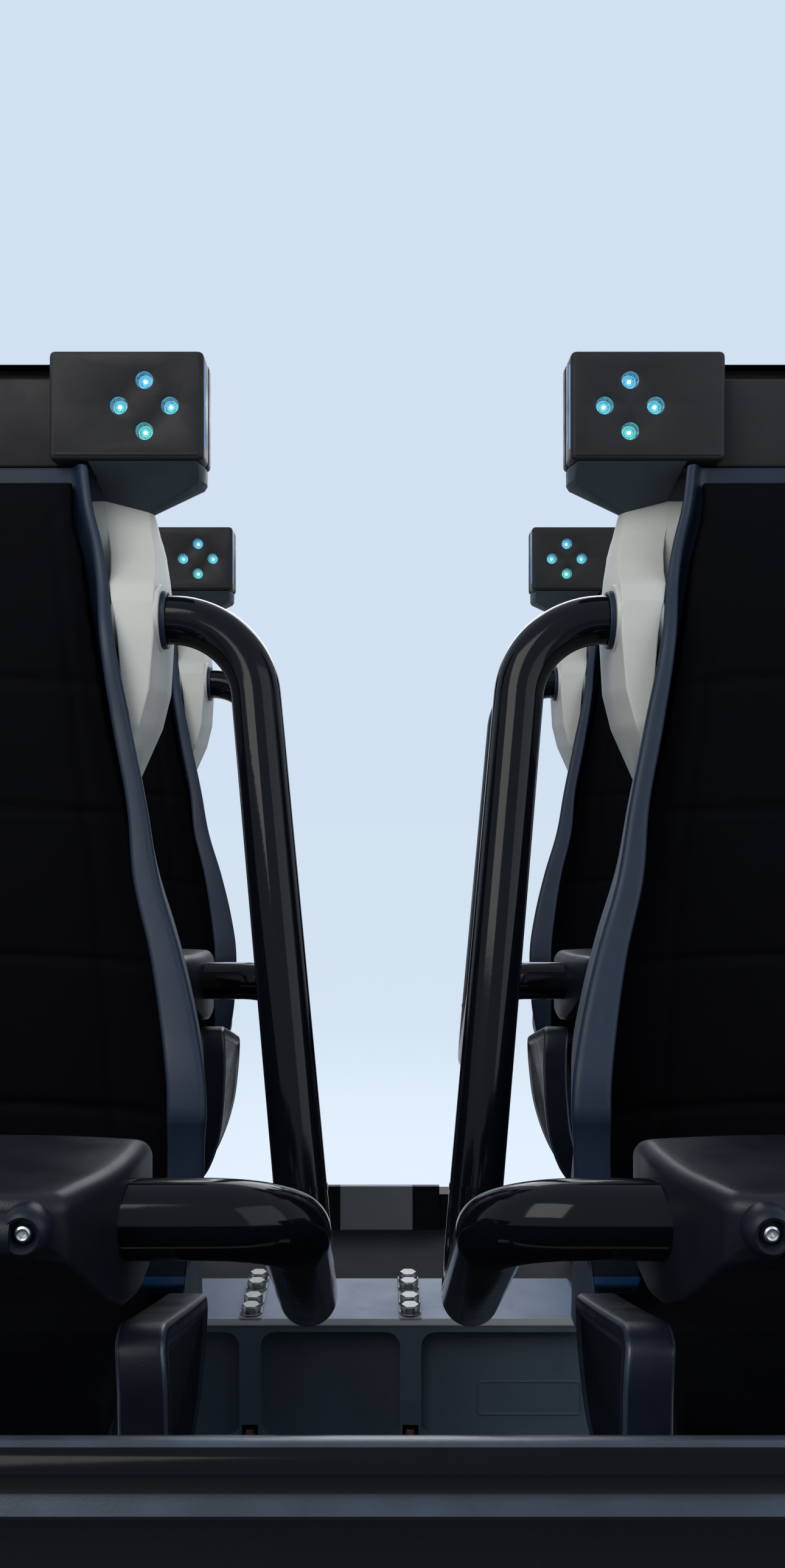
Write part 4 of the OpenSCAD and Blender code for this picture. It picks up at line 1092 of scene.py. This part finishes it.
class COASTER_OT_stage(Maker):
    """Floor, soft lamps, sky and the camera"""
    bl_idname, bl_label = "coaster.stage", "Stage and camera"

    def make(self, sizes):
        sc = bpy.context.scene
        me = bpy.data.meshes.new("floor")
        me.from_pydata([(-40, -40, 0), (40, -40, 0), (40, 40, 0), (-40, 40, 0)], [], [(0, 1, 2, 3)])
        linked("floor", me)
        f = Finish("pale_floor", (0.72, 0.73, 0.74), 0.7)
        f.set("Base Color", f.mix(f.noise(0.6, 3), (0.7, 0.71, 0.72), (0.74, 0.75, 0.76)))
        me.materials.append(f.m)
        seen = f.node("ShaderNodeLightPath", {}, {}, "Is Camera Ray")
        pale = f.node("ShaderNodeEmission", {}, {0: (0.74, 0.87, 1.0, 1), 1: 1.16})
        both = f.node("ShaderNodeMixShader", {}, {0: seen * 0.6, 1: Val(f, f.bsdf.outputs[0]), 2: pale})
        f.t.links.new(both.socket, f.out.inputs[0])
        # the sky that is seen, directly or in a reflection, is another than the one that lights the car
        sc.world = bpy.data.worlds.new("soft_sky")
        sky = Tree(sc.world)
        rays = [sky.node("ShaderNodeLightPath", {}, {}, f"Is {k} Ray") for k in ("Camera", "Glossy", "Transmission")]
        shown = rays[0].math("MAXIMUM", rays[1]).math("MAXIMUM", rays[2])
        light = sky.node("ShaderNodeBackground", {}, {0: (0.78, 0.86, 1.0, 1), 1: 0.55})
        view = sky.node("ShaderNodeBackground", {}, {0: (0.64, 0.755, 0.885, 1), 1: 1.0})
        both = sky.node("ShaderNodeMixShader", {}, {0: shown, 1: light, 2: view})
        sky.node("ShaderNodeOutputWorld", {}, {0: both})
        for name, kind, size, power, at, aim, colour in (
                ("key", "AREA", 3.0, 150, (-2.2, -3.4, 4.2), (0, 0, 1.2), (1.0, 0.97, 0.93)),
                ("fill", "AREA", 3.5, 60, (3.4, -2.6, 3.0), (0, 0, 1.2), (0.93, 0.97, 1.0)),
                ("back", "AREA", 3.0, 90, (0.6, 4.2, 4.0), (0, 0, 1.2), (1.0, 1.0, 1.0))):
            data = bpy.data.lights.new(name, kind)
            data.energy, data.size, data.color = power, size, colour
            ob = linked(name, data)
            ob.location = at
            d = np.array(aim, float) - np.array(at, float)
            ob.rotation_euler = (math.atan2(math.hypot(d[0], d[1]), -d[2]), 0, math.atan2(d[0], -d[1]) + math.pi)
        cam = bpy.data.cameras.new("photo_view")
        cam.lens, cam.sensor_width, cam.sensor_fit = 30.4, 36.0, "AUTO"
        cam.shift_x, cam.shift_y = 28 / 2576, -18 / 2576
        cam.clip_start = 0.05
        ob = linked("photo_view", cam)
        ob.location = (-0.013, -1.775, 1.610)
        ob.rotation_euler = (math.pi / 2, 0, 0)
        sc.camera = ob
        sc.view_settings.view_transform = "Standard"


OPERATORS = (
    COASTER_OT_frame_finish, COASTER_OT_seat_buckets, COASTER_OT_seat_shells, COASTER_OT_headrests,
    COASTER_OT_hinge_collars, COASTER_OT_restraint_tubes, COASTER_OT_lap_pads, COASTER_OT_leg_wings,
    COASTER_OT_front_fascia, COASTER_OT_beam_fittings, COASTER_OT_pads, COASTER_OT_wheels, COASTER_OT_running_gear,
    COASTER_OT_stage,
)


class COASTER_PT_panel(bpy.types.Panel):
    """Lists the car's pieces and settings"""
    bl_idname, bl_label = "COASTER_PT_panel", "Coaster car"
    bl_space_type, bl_region_type, bl_category = "VIEW_3D", "UI", "Coaster car"

    def draw(self, context):
        for group in (context.scene.coaster_sizes, context.scene.coaster_colours):
            for prop in group.__annotations__:
                self.layout.prop(group, prop)
        for op in OPERATORS:
            self.layout.operator(op.bl_idname)


CLASSES = (CoasterSizes, CoasterColours, *OPERATORS, COASTER_PT_panel)


def register():
    for c in CLASSES:
        bpy.utils.register_class(c)
    bpy.types.Scene.coaster_sizes = bpy.props.PointerProperty(type=CoasterSizes)
    bpy.types.Scene.coaster_colours = bpy.props.PointerProperty(type=CoasterColours)


def unregister():
    del bpy.types.Scene.coaster_sizes
    del bpy.types.Scene.coaster_colours
    for c in reversed(CLASSES):
        bpy.utils.unregister_class(c)


def main():
    register()
    for op in OPERATORS:
        area, name = op.bl_idname.split(".")
        getattr(getattr(bpy.ops, area), name)()


if __name__ == "__main__":
    main()
